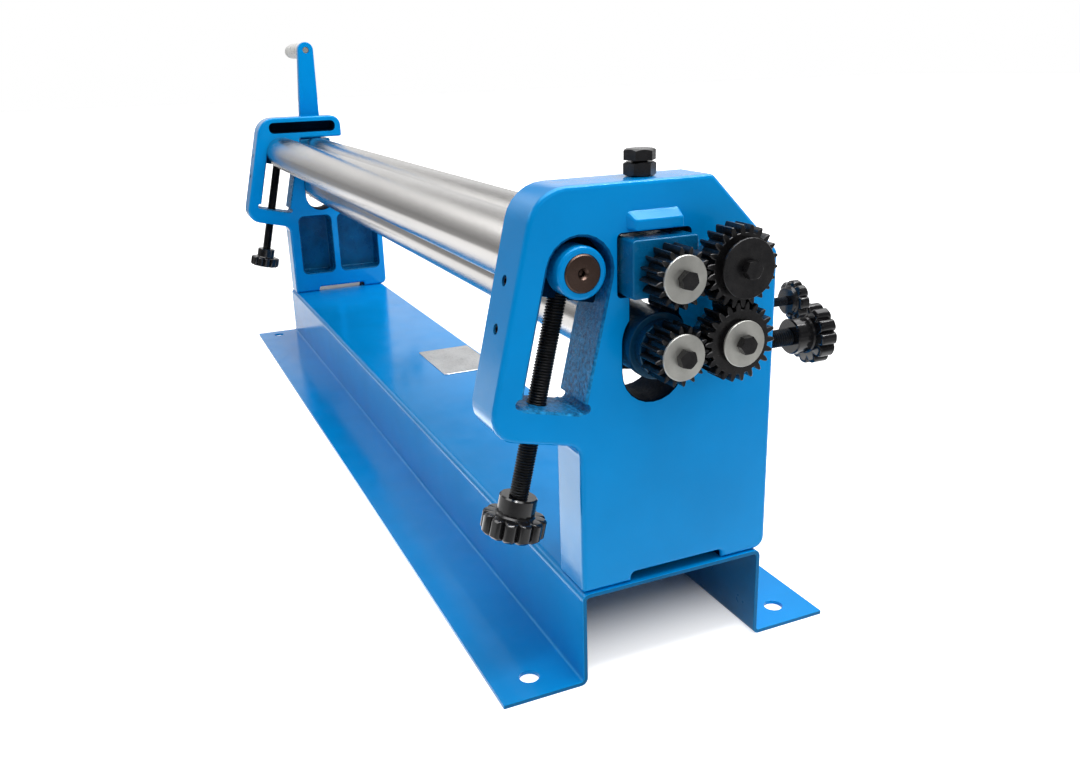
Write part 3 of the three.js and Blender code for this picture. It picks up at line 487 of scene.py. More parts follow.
def bumped(tree, shader, layers):
    """Layers are (height, strength, distance in metres), each on top of the last."""
    below = {}
    for height, strength, distance in layers:
        inputs = {"Height": height, "Strength": strength, "Distance": distance, **below}
        below = {"Normal": add(tree, "ShaderNodeBump", inputs).outputs["Normal"]}
    feed(tree, shader, below)


ENAMEL_TINT = (0.12, 0.65, 1, 1)


def enamel(name, dark, light, rough, peel, cast=0.0, coat=0.35, gloss=0.5, speck=18, fade=None):
    """Sprayed enamel over sheet or cast metal; a fade darkens it from one height to another, as
    painted shade.
    """
    material, tree, shader = nodes_of(name)
    tone = spread(tree, noise(tree, speck, detail=4), 0, 1)
    if fade:
        height = split(tree, add(tree, "ShaderNodeTexCoord").outputs["Object"])["Z"]
        tone = number(tree, "MULTIPLY", spread(tree, height, 1, 0.1, *fade), tone)
    feed(tree, shader, {
        "Base Color": shade(tree, tone, dark, light),
        "Roughness": spread(tree, noise(tree, 55), rough * 0.75, rough * 1.35),
        "Specular IOR Level": gloss,
        "Specular Tint": ENAMEL_TINT,
        "Coat Weight": coat,
        "Coat Roughness": 0.04,
    })
    layers = [(noise(tree, 260, detail=2), peel, 0.0004)]
    if cast:
        layers.append((noise(tree, 520, detail=6, roughness=0.7), cast, 0.003))
    bumped(tree, shader, layers)
    return material


EVEN = (1, 1, 1)


def metal(
    name, dark, light, rough, stretch, lines,
    metallic=1.0, blotch=30, line_scale=900, coat=0.0, smear=EVEN,
):
    """Machined metal: stretch draws its fine lines out across the way they run."""
    material, tree, shader = nodes_of(name)
    tone = spread(tree, noise(tree, blotch, smear, detail=5), 0, 1)
    fine = noise(tree, line_scale, stretch, detail=4, roughness=0.6)
    feed(tree, shader, {
        "Base Color": shade(tree, tone, dark, light),
        "Roughness": spread(tree, fine, rough * 0.7, rough * 1.4),
        "Metallic": metallic,
        "Coat Weight": coat,
        "Coat Roughness": 0.15,
    })
    bumped(tree, shader, [(fine, lines, 0.0002), (noise(tree, 120), 0.05, 0.0004)])
    return material


def plastic(name, dark, light, rough, grain):
    material, tree, shader = nodes_of(name)
    tone = spread(tree, noise(tree, 60, detail=4), 0, 1)
    feed(tree, shader, {
        "Base Color": shade(tree, tone, dark, light),
        "Roughness": spread(tree, noise(tree, 150), rough * 0.7, rough * 1.5),
    })
    bumped(tree, shader, [(noise(tree, 900, detail=3), grain, 0.0002)])
    return material


BLUE = enamel("blue_gloss", (0, 0.25, 0.65), (0, 0.28, 0.72), 0.16, 0.05, coat=0.05, gloss=0.35)
# The channel's inside: a darker copy of the blue enamel, painted shade.
INSIDE_SHADE = enamel("blue_inside_shaded", (0, 0.09, 0.24), (0, 0.13, 0.34), 0.3, 0.1, coat=0)
CAST = enamel("blue_cast", (0, 0.245, 0.64), (0, 0.275, 0.71), 0.17, 0.12, coat=0.1)
# Slot walls and holes: the light speckles are partly cast tone and partly painted glints; the fade
# darkens them towards the top as painted shade.
ROUGH_GLINT_SHADE = enamel(
    "blue_rough_cast_glint_shade", (0, 0.07, 0.22), (0.03, 0.4, 0.85), 0.3, 0.3,
    cast=0.55, coat=0, gloss=0.25, speck=420, fade=(0.2, 0.27),
)
# Foot pockets: a darker copy of the blue, painted shade in the recesses.
POCKET_SHADE = enamel(
    "blue_pocket_cast_shaded", (0, 0.04, 0.13), (0, 0.1, 0.27), 0.28, 0.3,
    cast=0.3, coat=0.05, speck=34,
)
# Near black for the window, top pocket, notch and bending block: painted shade in the recesses.
CAVITY_SHADE = enamel(
    "blue_cavity_painted_shade", (0, 0.005, 0.018), (0, 0.015, 0.05), 0.5, 0.3,
    cast=0.5, coat=0, gloss=0.05,
)
TEAL = enamel("block_gloss", (0, 0.09, 0.24), (0, 0.14, 0.34), 0.24, 0.2, cast=0.25)
# Lower block: a near-black copy of the blocks' teal enamel, painted shade.
SHADED_BLOCK = enamel("lower_block_gloss_shaded", (0, 0.014, 0.04), (0, 0.03, 0.085), 0.22, 0.2, cast=0.2)
STEEL = metal(
    "ground_steel", (0.55, 0.535, 0.52), (0.67, 0.65, 0.63), 0.17, (6, 0.6, 0.6), 0.18,
    smear=(0.15, 1, 1),
)
TURNED = metal("turned_steel", (0.42, 0.41, 0.4), (0.6, 0.59, 0.57), 0.3, (5, 1, 1), 0.3)
BROWN = metal("journal_steel", (0.06, 0.035, 0.028), (0.12, 0.08, 0.065), 0.34, EVEN, 0.2, 0.9)
BLACK = metal(
    "black_oxide", (0.012, 0.012, 0.014), (0.03, 0.029, 0.03), 0.34, EVEN, 0.35,
    0.75, 140, 700, 0.35,
)
THREAD = metal(
    "black_thread", (0.008, 0.008, 0.009), (0.02, 0.02, 0.021), 0.42, EVEN, 0.2, 0.6, 140, 700,
)
ZINC = metal("zinc_washer", (0.5, 0.5, 0.47), (0.66, 0.66, 0.62), 0.42, EVEN, 0.3, 0.9, 90, 500)
ALLOY = metal(
    "plate_alloy", (0.55, 0.56, 0.57), (0.72, 0.73, 0.74), 0.3, (0.15, 6, 6), 0.25, 1.0, 40, 700,
)
KNOB = plastic("knob_black", (0.004, 0.004, 0.005), (0.012, 0.012, 0.013), 0.12, 0.04)
GRIP = plastic("grip_pale", (0.62, 0.62, 0.6), (0.75, 0.75, 0.73), 0.3, 0.1)


def cutter(body, material):
    return build("cutter", [body], [material])


def piece(node, body, material, angle=40, cutters=()):
    """A piece of one body in place of its node, with cutters taken out of it."""
    obj = build(f"{node}_look", [body], [material], angle)
    return place(cut(obj, cutters) if cutters else obj, node)


def bore(radius, x0, x1, centre, sides=64):
    """A round hole about a shaft, with clearance and past both ends."""
    over = OVER if x1 > x0 else -OVER
    return bar(radius + GAP, (x0 - over, *centre), (x1 + over, *centre), sides)


def dress(obj, material, test):
    """Gives the faces whose middle passes the test another of the piece's materials."""
    index = obj.data.materials.find(material.name)
    for face in obj.data.polygons:
        if test(face.center):
            face.material_index = index


# Base channel
def base_section():
    top = BASE_TOP_WIDTH / 2
    edge = top + FLANGE_WIDTH
    wall = top - SHEET
    inside = BEND - SHEET
    right = [
        (wall, -BASE_HEIGHT, BEND),
        (edge, -BASE_HEIGHT, 0.4),
        (edge, SHEET - BASE_HEIGHT, 0.4),
        (top, SHEET - BASE_HEIGHT, inside),
        (top, 0, BEND),
    ]
    left = [(-y, z, r) for y, z, r in reversed(right)]
    return right + left + [(-wall, -SHEET, inside), (wall, -SHEET, inside)]


def flared_hole(radius, centre, direction, depth, flare=0.5):
    """A cutter for a round hole with slightly rounded mouths."""
    mouth = radius + flare
    profile = [(-OVER, mouth), (0, mouth)]
    profile += [(d, mouth - i) for d, i in flipped(flare, 2)]
    profile += [(depth - d, mouth - i) for d, i in reversed(flipped(flare, 2))]
    profile += [(depth, mouth), (depth + OVER, mouth)]
    return moved(turned(profile, 48), pointing(centre, direction))


def base_channel():
    section = across(base_section(), -BASE_LENGTH / 2, BASE_LENGTH / 2, 0.4, 2)
    obj = build("base_channel_look", [section], [BLUE, INSIDE_SHADE])
    under = BASE_TOP_WIDTH / 2 - SHEET / 2
    # Faces inside the channel, under its top, take the darker blue as painted shade.
    dress(obj, INSIDE_SHADE, lambda c: abs(c.y) < under and c.z < -SHEET / 2)
    hole_x = BASE_LENGTH / 2 - FLANGE_HOLE_FROM_END
    hole_y = BASE_TOP_WIDTH / 2 + FLANGE_WIDTH - FLANGE_HOLE_FROM_EDGE
    cutters = []
    for sign in SIDES.values():
        for y in (-hole_y, hole_y):
            spot = (sign * hole_x, y, -BASE_HEIGHT)
            hole = flared_hole(FLANGE_HOLE_RADIUS, spot, (0, 0, 1), SHEET)
            cutters.append(cutter(hole, BLUE))
        for y in FRAME_BOLTS.values():
            x = sign * MIDDLE
            hole = bar(BOLT_RADIUS + GAP, (x, y, -SHEET - OVER), (x, y, OVER), 24)
            cutters.append(cutter(hole, BLUE))
    return place(cut(obj, cutters), "base_channel")


# End frames
def frame_corners(open_front):
    reach = SLOT_RADIUS + ARM_WALL
    bottom = SLOT_DEPTH + ARM_FLOOR
    top_down = (SLOT_Z + reach * sin(SLANT) - FRAME_HEIGHT) / cos(SLANT)
    root_rear = (FRAME_REAR + SLOT_Y - bottom * sin(SLANT)) / cos(SLANT)
    throat_y = PINCH_Y - 22
    foot = [
        (-FRAME_REAR, GAP, 2.5), (NOTCH_REAR, GAP, 0.6), (NOTCH_REAR, NOTCH_HEIGHT, 3),
        (NOTCH_FRONT, NOTCH_HEIGHT, 3), (NOTCH_FRONT, GAP, 0.6), (FRAME_FRONT, GAP, 8),
    ]
    closed = [(FRAME_FRONT, FRAME_HEIGHT - 50, 6), (22.9, FRAME_HEIGHT, 6)]
    throat = [
        (FRAME_FRONT, LEDGE, 6), (throat_y, LEDGE, 2.5), (throat_y, ROOF, 2.5),
        (THROAT_TOP, ROOF, 3), (THROAT_TOP, FRAME_HEIGHT, 14),
    ]
    rear = [
        (in_slot(top_down, reach)[0], FRAME_HEIGHT, 25),
        (*in_slot(bottom, reach), 17),
        (*in_slot(bottom, root_rear), 10),
    ]
    return foot + (throat if open_front else closed) + rear


def slot_outline(down, half, radius):
    """An outline along the slot with a round top, its lower corners rounded by radius."""
    high = half * ALMOST
    return [
        (*in_slot(down, half), radius), (*in_slot(down, -half), radius),
        (*in_slot(-half, -half), high), (*in_slot(-half, half), high),
    ]


def window_corners(open_front):
    low, high, radius, neck, half = LOWER_Z - 15, LOWER_Z + 2.6, 21, 16.1, 24
    last = acos(neck / radius)
    right = [(PINCH_Y + radius, low - radius, radius * ALMOST)]
    for k in range(6):
        angle = last * k / 5
        right.append((PINCH_Y + radius * cos(angle), high + radius * sin(angle), None))
    if open_front:
        right.append((PINCH_Y + neck, LEDGE + 3, 0.5))
    else:
        right += [
            (PINCH_Y + neck, LEDGE, 2.2), (PINCH_Y + half, LEDGE, 2), (PINCH_Y + half, ROOF, 2.5),
        ]
    left = [(2 * PINCH_Y - y, z, r) for y, z, r in reversed(right)]
    return right + left


def in_notch(centre):
    """Whether a face of a frame is in the notch across its foot, its rounded rims left out."""
    inside = abs(abs(centre.x) - MIDDLE) < 5 and 0.5 < centre.z < NOTCH_HEIGHT + 0.5
    return inside and NOTCH_REAR - 0.5 < centre.y < NOTCH_FRONT + 0.5


def cast_lug():
    """The lug over the upper block; its rear end slopes out towards the frame."""
    root, tip = OUTER - 3, OUTER + LUG_REACH
    low, high = ROOF + 1.8, ROOF + 14.8
    corners = [(root, low, 0.1), (tip, low, 1), (tip, ROOF + 8, LUG_EDGE), (root, high, 0.1)]
    levels = [(LUG_REAR + d, i, LUG_SLOPE) for d, i in rim(LUG_EDGE, 3)]
    levels += [(LUG_FRONT - d, i, 0) for d, i in reversed(rim(LUG_EDGE, 3))]
    rings = []
    for y, inset, slope in levels:
        ring = []
        for p in rounded(corners, inset):
            share = max(0, min(1, (tip - p.x) / LUG_REACH))
            ring.append(Vector((p.x, y - slope * share, p.y)))
        rings.append(ring)
    return build("lug", [loft(rings)], [CAST])


def end_frame(name, sign, open_front):
    x0, x1, mid = sign * INNER, sign * OUTER, sign * MIDDLE
    body = across(frame_corners(open_front), x0, x1, 3.0, 5)
    slab = build(f"{name}_frame_look", [body], [CAST, ROUGH_GLINT_SHADE, CAVITY_SHADE, POCKET_SHADE])
    # The notch under the foot is near black as painted shade.
    dress(slab, CAVITY_SHADE, in_notch)
    cutters = []

    def take(body, material=ROUGH_GLINT_SHADE):
        cutters.append(cutter(body, material))

    # The slot's walls get the speckled blue, with painted glints and painted shade towards the top.
    take(across(slot_outline(SLOT_DEPTH, SLOT_RADIUS, 3), x0, x1, flare=1.6))
    for rear in (-1, 1):
        y, z = in_slot(SLOT_DEPTH - 3.1, rear * (SLOT_RADIUS + 1.2))
        take(bar(SLOT_RELIEF, (x0 - sign * OVER, y, z), (x1 + sign * OVER, y, z), 24))
    # The window is lined near black as painted shade.
    take(across(window_corners(open_front), x0, x1, flare=0.8), CAVITY_SHADE)
    depth = OUTER - INNER - WEB
    # The foot pockets are lined with the darker blue as painted shade.
    for box in FOOT_POCKETS:
        take(pocket(box_corners(*box, 7), x0, depth, sign), POCKET_SHADE)
    top, top_depth = box_corners(*TOP_POCKET, 5.6), depth if open_front else TOP_POCKET_DEPTH
    # The top pocket is lined near black as painted shade.
    take(pocket(top, x0, top_depth, sign, lip=1.0, fillet=2.0, draft=0.4), CAVITY_SHADE)
    start = in_slot(SLOT_DEPTH - OVER, SCREW_SHIFT)
    end = in_slot(SLOT_DEPTH + ARM_FLOOR + OVER, SCREW_SHIFT)
    take(bar(SCREW_RADIUS + GAP, (mid, *start), (mid, *end)))
    lock_x = mid + sign * LOCK_SHIFT
    for radius, x, z in ((SCREW_RADIUS, mid, LOWER_SCREW_Z), (LOCK_RADIUS, lock_x, LOCK_Z)):
        take(bar(radius + GAP, (x, PINCH_Y, z), (x, FRAME_FRONT + OVER, z)))
    for down in SET_SCREWS.values():
        start = in_slot(down, SLOT_RADIUS - OVER)
        end = in_slot(down, SLOT_RADIUS + ARM_WALL + OVER)
        take(bar(SET_SCREW_RADIUS + GAP, (mid, *start), (mid, *end), 24))
    if not open_front:
        slab = join(slab, [cast_lug()])
        low, high = (mid, PINCH_Y, ROOF - OVER), (mid, PINCH_Y, FRAME_HEIGHT + OVER)
        take(bar(BOLT_RADIUS + GAP, low, high, 24))
    return place(cut(slab, cutters), f"{name}_frame")


# Hexagon heads, nuts, washers and threads
def hexagon(flats, height, chamfer_both=False, sides=60):
    """A hexagon head on x = 0, its top corners cut by a 30 degree cone."""
    apothem = flats / 2
    inner = apothem * 0.95
    axis = Vector((1, 0, 0))
    foot, under, over, top = [], [], [], []
    for i in range(sides):
        angle = 2 * pi * i / sides
        reach = apothem / cos((angle + pi / 6) % (pi / 3) - pi / 6)
        lost = max(0, reach - inner) * tan(radians(30))
        way = Vector((0, cos(angle), sin(angle)))
        foot.append(way * (inner if chamfer_both else reach))
        under.append(way * reach + axis * lost)
        over.append(way * reach + axis * (height - lost))
        top.append(way * inner + axis * height)
    return loft([foot, under, over, top] if chamfer_both else [foot, over, top])


def threaded(length, radius, pitch, sides=20, nose=None):
    """A threaded rod along x from 0; a nose is (tip radius, taper) and carries no thread."""
    depth = THREAD_DEPTH * pitch
    bevel = min(1.0, radius / 3)
    count = int(length / pitch * 6)
    profile = []
    for k in range(count + 1):
        x = length * k / count
        limit = min(radius, radius - bevel + x, radius - bevel + length - x)
        in_thread = True
        if nose:
            tip, taper = nose
            coned = tip + x * taper
            if coned < radius:
                limit = min(coned, tip * 0.5 + x)
                in_thread = False
        profile.append((x, limit, in_thread))

    def wave(entry, angle):
        x, limit, in_thread = entry
        if not in_thread:
            return limit
        share = (x / pitch - angle / (2 * pi)) % 1
        peak = min(1.0, (1 - abs(2 * share - 1)) * 1.15)
        return min(limit, radius - depth * (1 - peak))

    return turned(profile, sides, wave)


def hex_bolt(node, size, length, matrix, name=None):
    """A bolt with its head's foot at the matrix; size is (flats, head, radius, pitch)."""
    flats, head, radius, pitch = size
    shank = moved(threaded(length, radius, pitch, 18), Matrix.Translation((-length, 0, 0)))
    bodies = [moved(body, matrix) for body in (hexagon(flats, head), shank)]
    return place(build(f"{name or node}_look", bodies, [BLACK]), node)


def ring_body(radius, hole, thickness, edge=0.3, sides=72):
    """A washer along x from 0."""
    profile = [
        (0, hole + edge), (edge, hole), (thickness - edge, hole), (thickness, hole + edge),
        (thickness, radius - edge), (thickness - edge, radius), (edge, radius), (0, radius - edge),
    ]
    return loft([circle(x, r, sides) for x, r in profile], loop=True)


def fasteners():
    for name, sign in SIDES.items():
        for spot, y in FRAME_BOLTS.items():
            matrix = pointing((sign * MIDDLE, y, -SHEET - GAP), (0, 0, -1))
            node = f"{name}_{spot}_frame_bolt"
            hex_bolt(node, M10, FRAME_BOLT_LENGTH, matrix, f"{name}_{spot}_bolt")
        for spot, down in SET_SCREWS.items():
            socket_screw(f"{name}_{spot}_set_screw", sign * MIDDLE, down)
    under = FRAME_HEIGHT + GAP + JAM_NUT + 1
    matrix = pointing((MIDDLE, PINCH_Y, under), (0, 0, 1), 0.3)
    hex_bolt("clamp_bolt", M10, under - BLOCK_TOP - GAP, matrix)
    matrix = pointing((MIDDLE, PINCH_Y, FRAME_HEIGHT + GAP), (0, 0, 1), 0.18)
    low, high = (MIDDLE, PINCH_Y, FRAME_HEIGHT - OVER), (MIDDLE, PINCH_Y, FRAME_HEIGHT + 10)
    hole = cutter(bar(BOLT_RADIUS + GAP, low, high, 32), BLACK)
    piece("clamp_jam_nut", moved(hexagon(M10[0], JAM_NUT, True), matrix), BLACK, cutters=[hole])


def socket_screw(node, x, down):
    """A set screw in the slot's rear wall, a little short of its outer face."""
    end = Vector((x, *in_slot(down, SLOT_RADIUS + ARM_WALL)))
    direction = (end - Vector((x, *in_slot(down, SLOT_RADIUS)))).normalized()
    body = threaded(ARM_WALL - SET_SCREW_SUNK, SET_SCREW_RADIUS, SET_SCREW_PITCH, 16)
    body = moved(body, pointing(end - direction * ARM_WALL, direction))
    socket = moved(hexagon(3, 4), pointing(end - direction * (3 + SET_SCREW_SUNK), direction))
    piece(node, body, THREAD, cutters=[cutter(socket, BLACK)])


# Rolls
def roll(node, y, z, materials, far, near):
    chamfer, flat = 1.2, 0.5
    half = [
        (BODY_END - chamfer - flat, ROLL_RADIUS), (BODY_END - chamfer, ROLL_RADIUS),
        (BODY_END, ROLL_RADIUS - chamfer),
    ]
    profile = far + [(-x, r) for x, r in reversed(half)] + half + near
    body = moved(turned(profile, 128), Matrix.Translation((0, y, z)))
    obj = build(f"{node}_look", [body], materials, 30)
    dress(obj, TURNED, lambda c: abs(c.x) > BODY_END - 0.2)
    return obj


def rolls():
    end = OUTER + 3
    seat, seat_end = GEAR_BACK - GAP, GEAR_FRONT - GAP
    near = [(BODY_END, JOURNAL), (seat, JOURNAL), (seat, SEAT), (seat_end, SEAT), (seat_end, 0)]
    upper_far = [
        (-end, 0), (-end, 2), (-end, JOURNAL - 0.8), (-end + 0.8, JOURNAL), (-BODY_END, JOURNAL),
    ]
    seat, seat_end = GAP - CRANK_INNER, GAP - CRANK_OUTER
    lower_far = [
        (seat_end, 0), (seat_end, SEAT), (seat, SEAT), (seat, JOURNAL), (-BODY_END, JOURNAL),
    ]
    for node, z, far in (("lower_roll", LOWER_Z, lower_far), ("upper_roll", UPPER_Z, upper_far)):
        place(roll(node, PINCH_Y, z, [STEEL, TURNED], far, near), node)
    r = BENDING_JOURNAL
    tip = OUTER + 4
    near = [
        (BODY_END, r), (tip - 0.7, r), (tip, r - 0.7),
        (tip, 3.4), (tip - 1.6, 2.0), (tip - 5, 1.9), (tip - 6, 0),
    ]
    far = [(-end, 0), (-end, r - 0.8), (-end + 0.8, r), (-BODY_END, r)]
    obj = roll("bending_roll", SLOT_Y, SLOT_Z, [STEEL, TURNED, BROWN], far, near)
    dress(obj, BROWN, lambda c: c.x > OUTER - 20)
    place(obj, "bending_roll")


# Gears
def gear_points(teeth, thinning, turn):
    pitch_radius = MODULE * teeth / 2
    base = pitch_radius * cos(PRESSURE)
    tip, root = pitch_radius + MODULE, pitch_radius - 1.25 * MODULE
    half_pitch = (pi * MODULE / 2 - thinning) / (2 * pitch_radius)

    def involute(angle):
        return tan(angle) - angle

    def flank(radius):
        return half_pitch + involute(PRESSURE) - involute(acos(min(1, base / radius)))

    start = max(base, root)
    stops = [start + (tip - start) * k / 5 for k in range(6)]
    side = [(root, flank(start) + 0.012)] + [(r, flank(r)) for r in stops]
    points = []
    for tooth in range(teeth):
        centre = turn + tooth * 2 * pi / teeth
        points += [(r, centre - a) for r, a in side]
        points += [(r, centre + a) for r, a in reversed(side)]
    return [(r * cos(a), r * sin(a), None) for r, a in points]


def mesh_turn(direction, turn_a, teeth_a, teeth_b):
    pitch_a, pitch_b = 2 * pi / teeth_a, 2 * pi / teeth_b
    return direction + pi - pitch_b * (0.5 - (direction - turn_a) / pitch_a)


def third_centre(a, from_a, b, from_b):
    span = b - a
    along = (from_a ** 2 - from_b ** 2 + span.length ** 2) / (2 * span.length)
    off = sqrt(from_a ** 2 - along ** 2)
    unit = span.normalized()
    side = Vector((unit.y, -unit.x))
    return a + unit * along + side * (off if side.x > 0 else -off)


def direction_of(a, b):
    return atan2(b.y - a.y, b.x - a.x)


LOWER_IDLER = LOWER + Vector((cos(MESH_ANGLE), sin(MESH_ANGLE))) * MESH_DISTANCE
UPPER_IDLER = third_centre(UPPER, MESH_DISTANCE, LOWER_IDLER, IDLER_DISTANCE)


def gear(name, teeth, thinning, x0, x1, centre, turn, shaft, boss=0.0):
    corners = [(centre.x + u, centre.y + v, r) for u, v, r in gear_points(teeth, thinning, turn)]
    obj = build(f"{name}_look", [across(corners, x0, x1, 0.35, 1)], [BLACK], 25)
    if boss:
        r, edge = IDLER_BOSS_RADIUS, 0.4
        hub = turned([(x1 - 2, r), (x1 + boss - edge, r), (x1 + boss, r - edge)], 64)
        hub = moved(hub, Matrix.Translation((0, *centre)))
        obj = join(obj, [cutter(hub, BLACK)], 25)
    hole = cutter(bore(shaft, x0, x1 + boss, centre, 48), BLACK)
    place(cut(obj, [hole], 25), name)


def cap(name, x, centre, radius, coat, length, roll=0.0, facing=1):
    """A washer and its bolt over the end x of a shaft."""
    seat = pointing((x + facing * GAP, *centre), (facing, 0, 0))
    washer = moved(ring_body(radius, GEAR_BOLT + GAP, WASHER), seat)
    piece(f"{name}_washer", washer, coat, 30)
    head = pointing((x + facing * (2 * GAP + WASHER), *centre), (facing, 0, 0), roll)
    hex_bolt(f"{name}_bolt", M6, length, head)


def gear_train():
    lower_turn = MESH_ANGLE - 0.35 / (MODULE * ROLL_TEETH / 2)
    lower_idler_turn = mesh_turn(MESH_ANGLE, MESH_ANGLE, ROLL_TEETH, IDLER_TEETH)
    line = direction_of(LOWER_IDLER, UPPER_IDLER)
    upper_idler_turn = mesh_turn(line, lower_idler_turn, IDLER_TEETH, IDLER_TEETH)
    line = direction_of(UPPER_IDLER, UPPER)
    upper_turn = mesh_turn(line, upper_idler_turn, IDLER_TEETH, ROLL_TEETH)
    for name, centre, turn in (("lower", LOWER, lower_turn), ("upper", UPPER, upper_turn)):
        node = f"{name}_roll_gear"
        gear(node, ROLL_TEETH, ROLL_GEAR_PLAY, GEAR_BACK, GEAR_FRONT, centre, turn, SEAT)
        cap(f"{name}_gear", GEAR_FRONT, centre, WASHER_RADIUS, ZINC, GEAR_BOLT_LENGTH, 0.25)
    sets = (
        ("lower_idler", LOWER_IDLER, lower_idler_turn, 2, WASHER_RADIUS, ZINC),
        ("upper_idler", UPPER_IDLER, upper_idler_turn, 4, WIDE_WASHER_RADIUS, BLACK),
    )
    for name, centre, turn, boss, cover, coat in sets:
        node = f"{name}_gear"
        ends = (IDLER_BACK, IDLER_FRONT)
        gear(node, IDLER_TEETH, IDLER_PLAY, *ends, centre, turn, AXLE_RADIUS, boss)
        end = IDLER_FRONT + boss + GAP
        length = end + 2 * GAP + WASHER - OUTER + AXLE_BOLT_DEPTH
        cap(name, end, centre, cover, coat, length, 0.6)


# Bearing blocks
def upper_block(name, sign, reach):
    x0, x1 = sign * (INNER + 1), sign * (OUTER + reach)
    rear, front = PINCH_Y - BLOCK_HALF_WIDTH, PINCH_Y + BLOCK_HALF_WIDTH
    corners = box_corners(rear, LEDGE + GAP, front, BLOCK_TOP, 2)
    hole = cutter(bore(JOURNAL, x0, x1, UPPER), TURNED)
    piece(f"{name}_upper_block", across(corners, x0, x1, 1.0, 3), TEAL, cutters=[hole])


def lower_block(name, sign, reach):
    x0, x1 = sign * (INNER + 1), sign * (OUTER + reach)
    collar = sign * (OUTER + min(reach, COLLAR_REACH))
    rounds = [
        (x0, COLLAR_RADIUS - 0.8), (x0 + sign * 0.8, COLLAR_RADIUS),
        (collar - sign * 1.2, COLLAR_RADIUS), (collar - sign * 0.35, COLLAR_RADIUS - 0.35),
        (collar, COLLAR_RADIUS - 1.2),
    ]
    if reach > COLLAR_REACH:
        rounds += [(collar, HUB_RADIUS), (x1 - sign * 0.6, HUB_RADIUS), (x1, HUB_RADIUS - 0.6)]
    body = moved(turned(rounds, 96), Matrix.Translation((0, *LOWER)))
    rear, front = PINCH_Y - 24, PINCH_Y + 24
    low, high = LOWER_SCREW_Z - 24, LOWER_SCREW_Z + SCREW_RADIUS + GAP
    cone_end = (SCREW_RADIUS - SCREW_NOSE) / NOSE_TAPER + NOSE_START
    nose = SCREW_NOSE + (rear - NOSE_START) * NOSE_TAPER
    seat = [
        (rear, low, None), (front, low, None), (front, high, None),
        (cone_end, high, None), (rear, LOWER_SCREW_Z + nose + GAP, None),
    ]
    cutters = [
        cutter(bore(JOURNAL, x0, x1, LOWER), TURNED),
        cutter(across(seat, x0 - sign, sign * OUTER), SHADED_BLOCK),
    ]
    # The lower block takes the near-black copy as painted shade.
    piece(f"{name}_lower_block", body, SHADED_BLOCK, cutters=cutters)


def bending_block(name, sign):
    x0, x1 = sign * (INNER + 1), sign * (OUTER - BENDING_BLOCK_INSET)
    outline = slot_outline(BENDING_BLOCK_FOOT, SLOT_RADIUS - GAP, 1)
    body = across(outline, x0, x1, 1.0, 3)
    # The bending block's body is near black as painted shade in the slot.
    obj = build(f"{name}_bending_block_look", [body], [CAVITY_SHADE])
    end = sign * (OUTER + BOSS_REACH)
    boss = [(x1 - sign * 2, BOSS_RADIUS)]
    for depth, inset in ((2.2, 0), (1.1, 0.3), (0.3, 1.1), (0, 2.2)):
        boss.append((end - sign * depth, BOSS_RADIUS - inset))
    boss = moved(turned(boss, 96), Matrix.Translation((0, SLOT_Y, SLOT_Z)))
    obj = join(obj, [cutter(boss, CAST)])
    mid = sign * MIDDLE
    start = in_slot(BENDING_SCREW_TIP - GAP, SCREW_SHIFT)
    stop = in_slot(BENDING_BLOCK_FOOT + 2, SCREW_SHIFT)
    holes = [
        bore(BENDING_JOURNAL, x0, end, (SLOT_Y, SLOT_Z), 96),
        bar(SCREW_RADIUS + GAP, (mid, *start), (mid, *stop)),
    ]
    place(cut(obj, [cutter(hole, CAST) for hole in holes]), f"{name}_bending_block")


# Adjusting screws and their star knobs
def star(radius, lobes, groove, thickness, hub_radius, hub_height):
    """A moulded star knob along x from its hub's foot."""
    top = hub_height + thickness
    levels = [
        (0, hub_radius - 0.9, 0), (0.9, hub_radius, 0),
        (hub_height - 1, hub_radius, 0), (hub_height, hub_radius + 0.8, 0),
        (hub_height, radius - 2.2, groove * 0.8), (hub_height + 0.5, radius - 0.8, groove),
        (hub_height + 1.5, radius, groove), (top - 2, radius, groove),
        (top - 1.1, radius - 0.75, groove), (top, radius - 2.2, groove * 0.8),
        (top, radius * 0.62, 0), (top - 0.8, radius * 0.56, 0), (top - 0.8, 0.5, 0),
        (top - 0.8, 0, 0),
    ]

    def wave(entry, angle):
        _, reach, depth = entry
        share = (1 + cos(lobes * angle)) / 2
        return reach - depth * (1 - sqrt(share)) ** 2

    return turned(levels, lobes * 12, wave)


# Screws as (radius, pitch, sides, depth in the knob, the knob's sizes)
BIG_SCREW = (SCREW_RADIUS, SCREW_PITCH, 20, 17.7, (20.0, 12, 3.4, 13, 11.9, 12.3))
LOCK_SCREW = (LOCK_RADIUS, LOCK_PITCH, 16, 6.7, (12.8, 8, 2.0, 8, 9, 3))


def adjuster(name, kind, origin, direction, tip, knob_at, nose=None):
    """A screw and its star knob, tip and knob_at measured along the direction."""
    radius, pitch, sides, depth, sizes = kind
    origin, direction = Vector(origin), Vector(direction)
    shaft = threaded(knob_at + depth - tip, radius, pitch, sides, nose)
    shaft = moved(shaft, pointing(origin + direction * tip, direction))
    piece(f"{name}_screw", shaft, THREAD, 30)
    knob = moved(star(*sizes), pointing(origin + direction * knob_at, direction))
    piece(f"{name}_knob", knob, KNOB, 35)


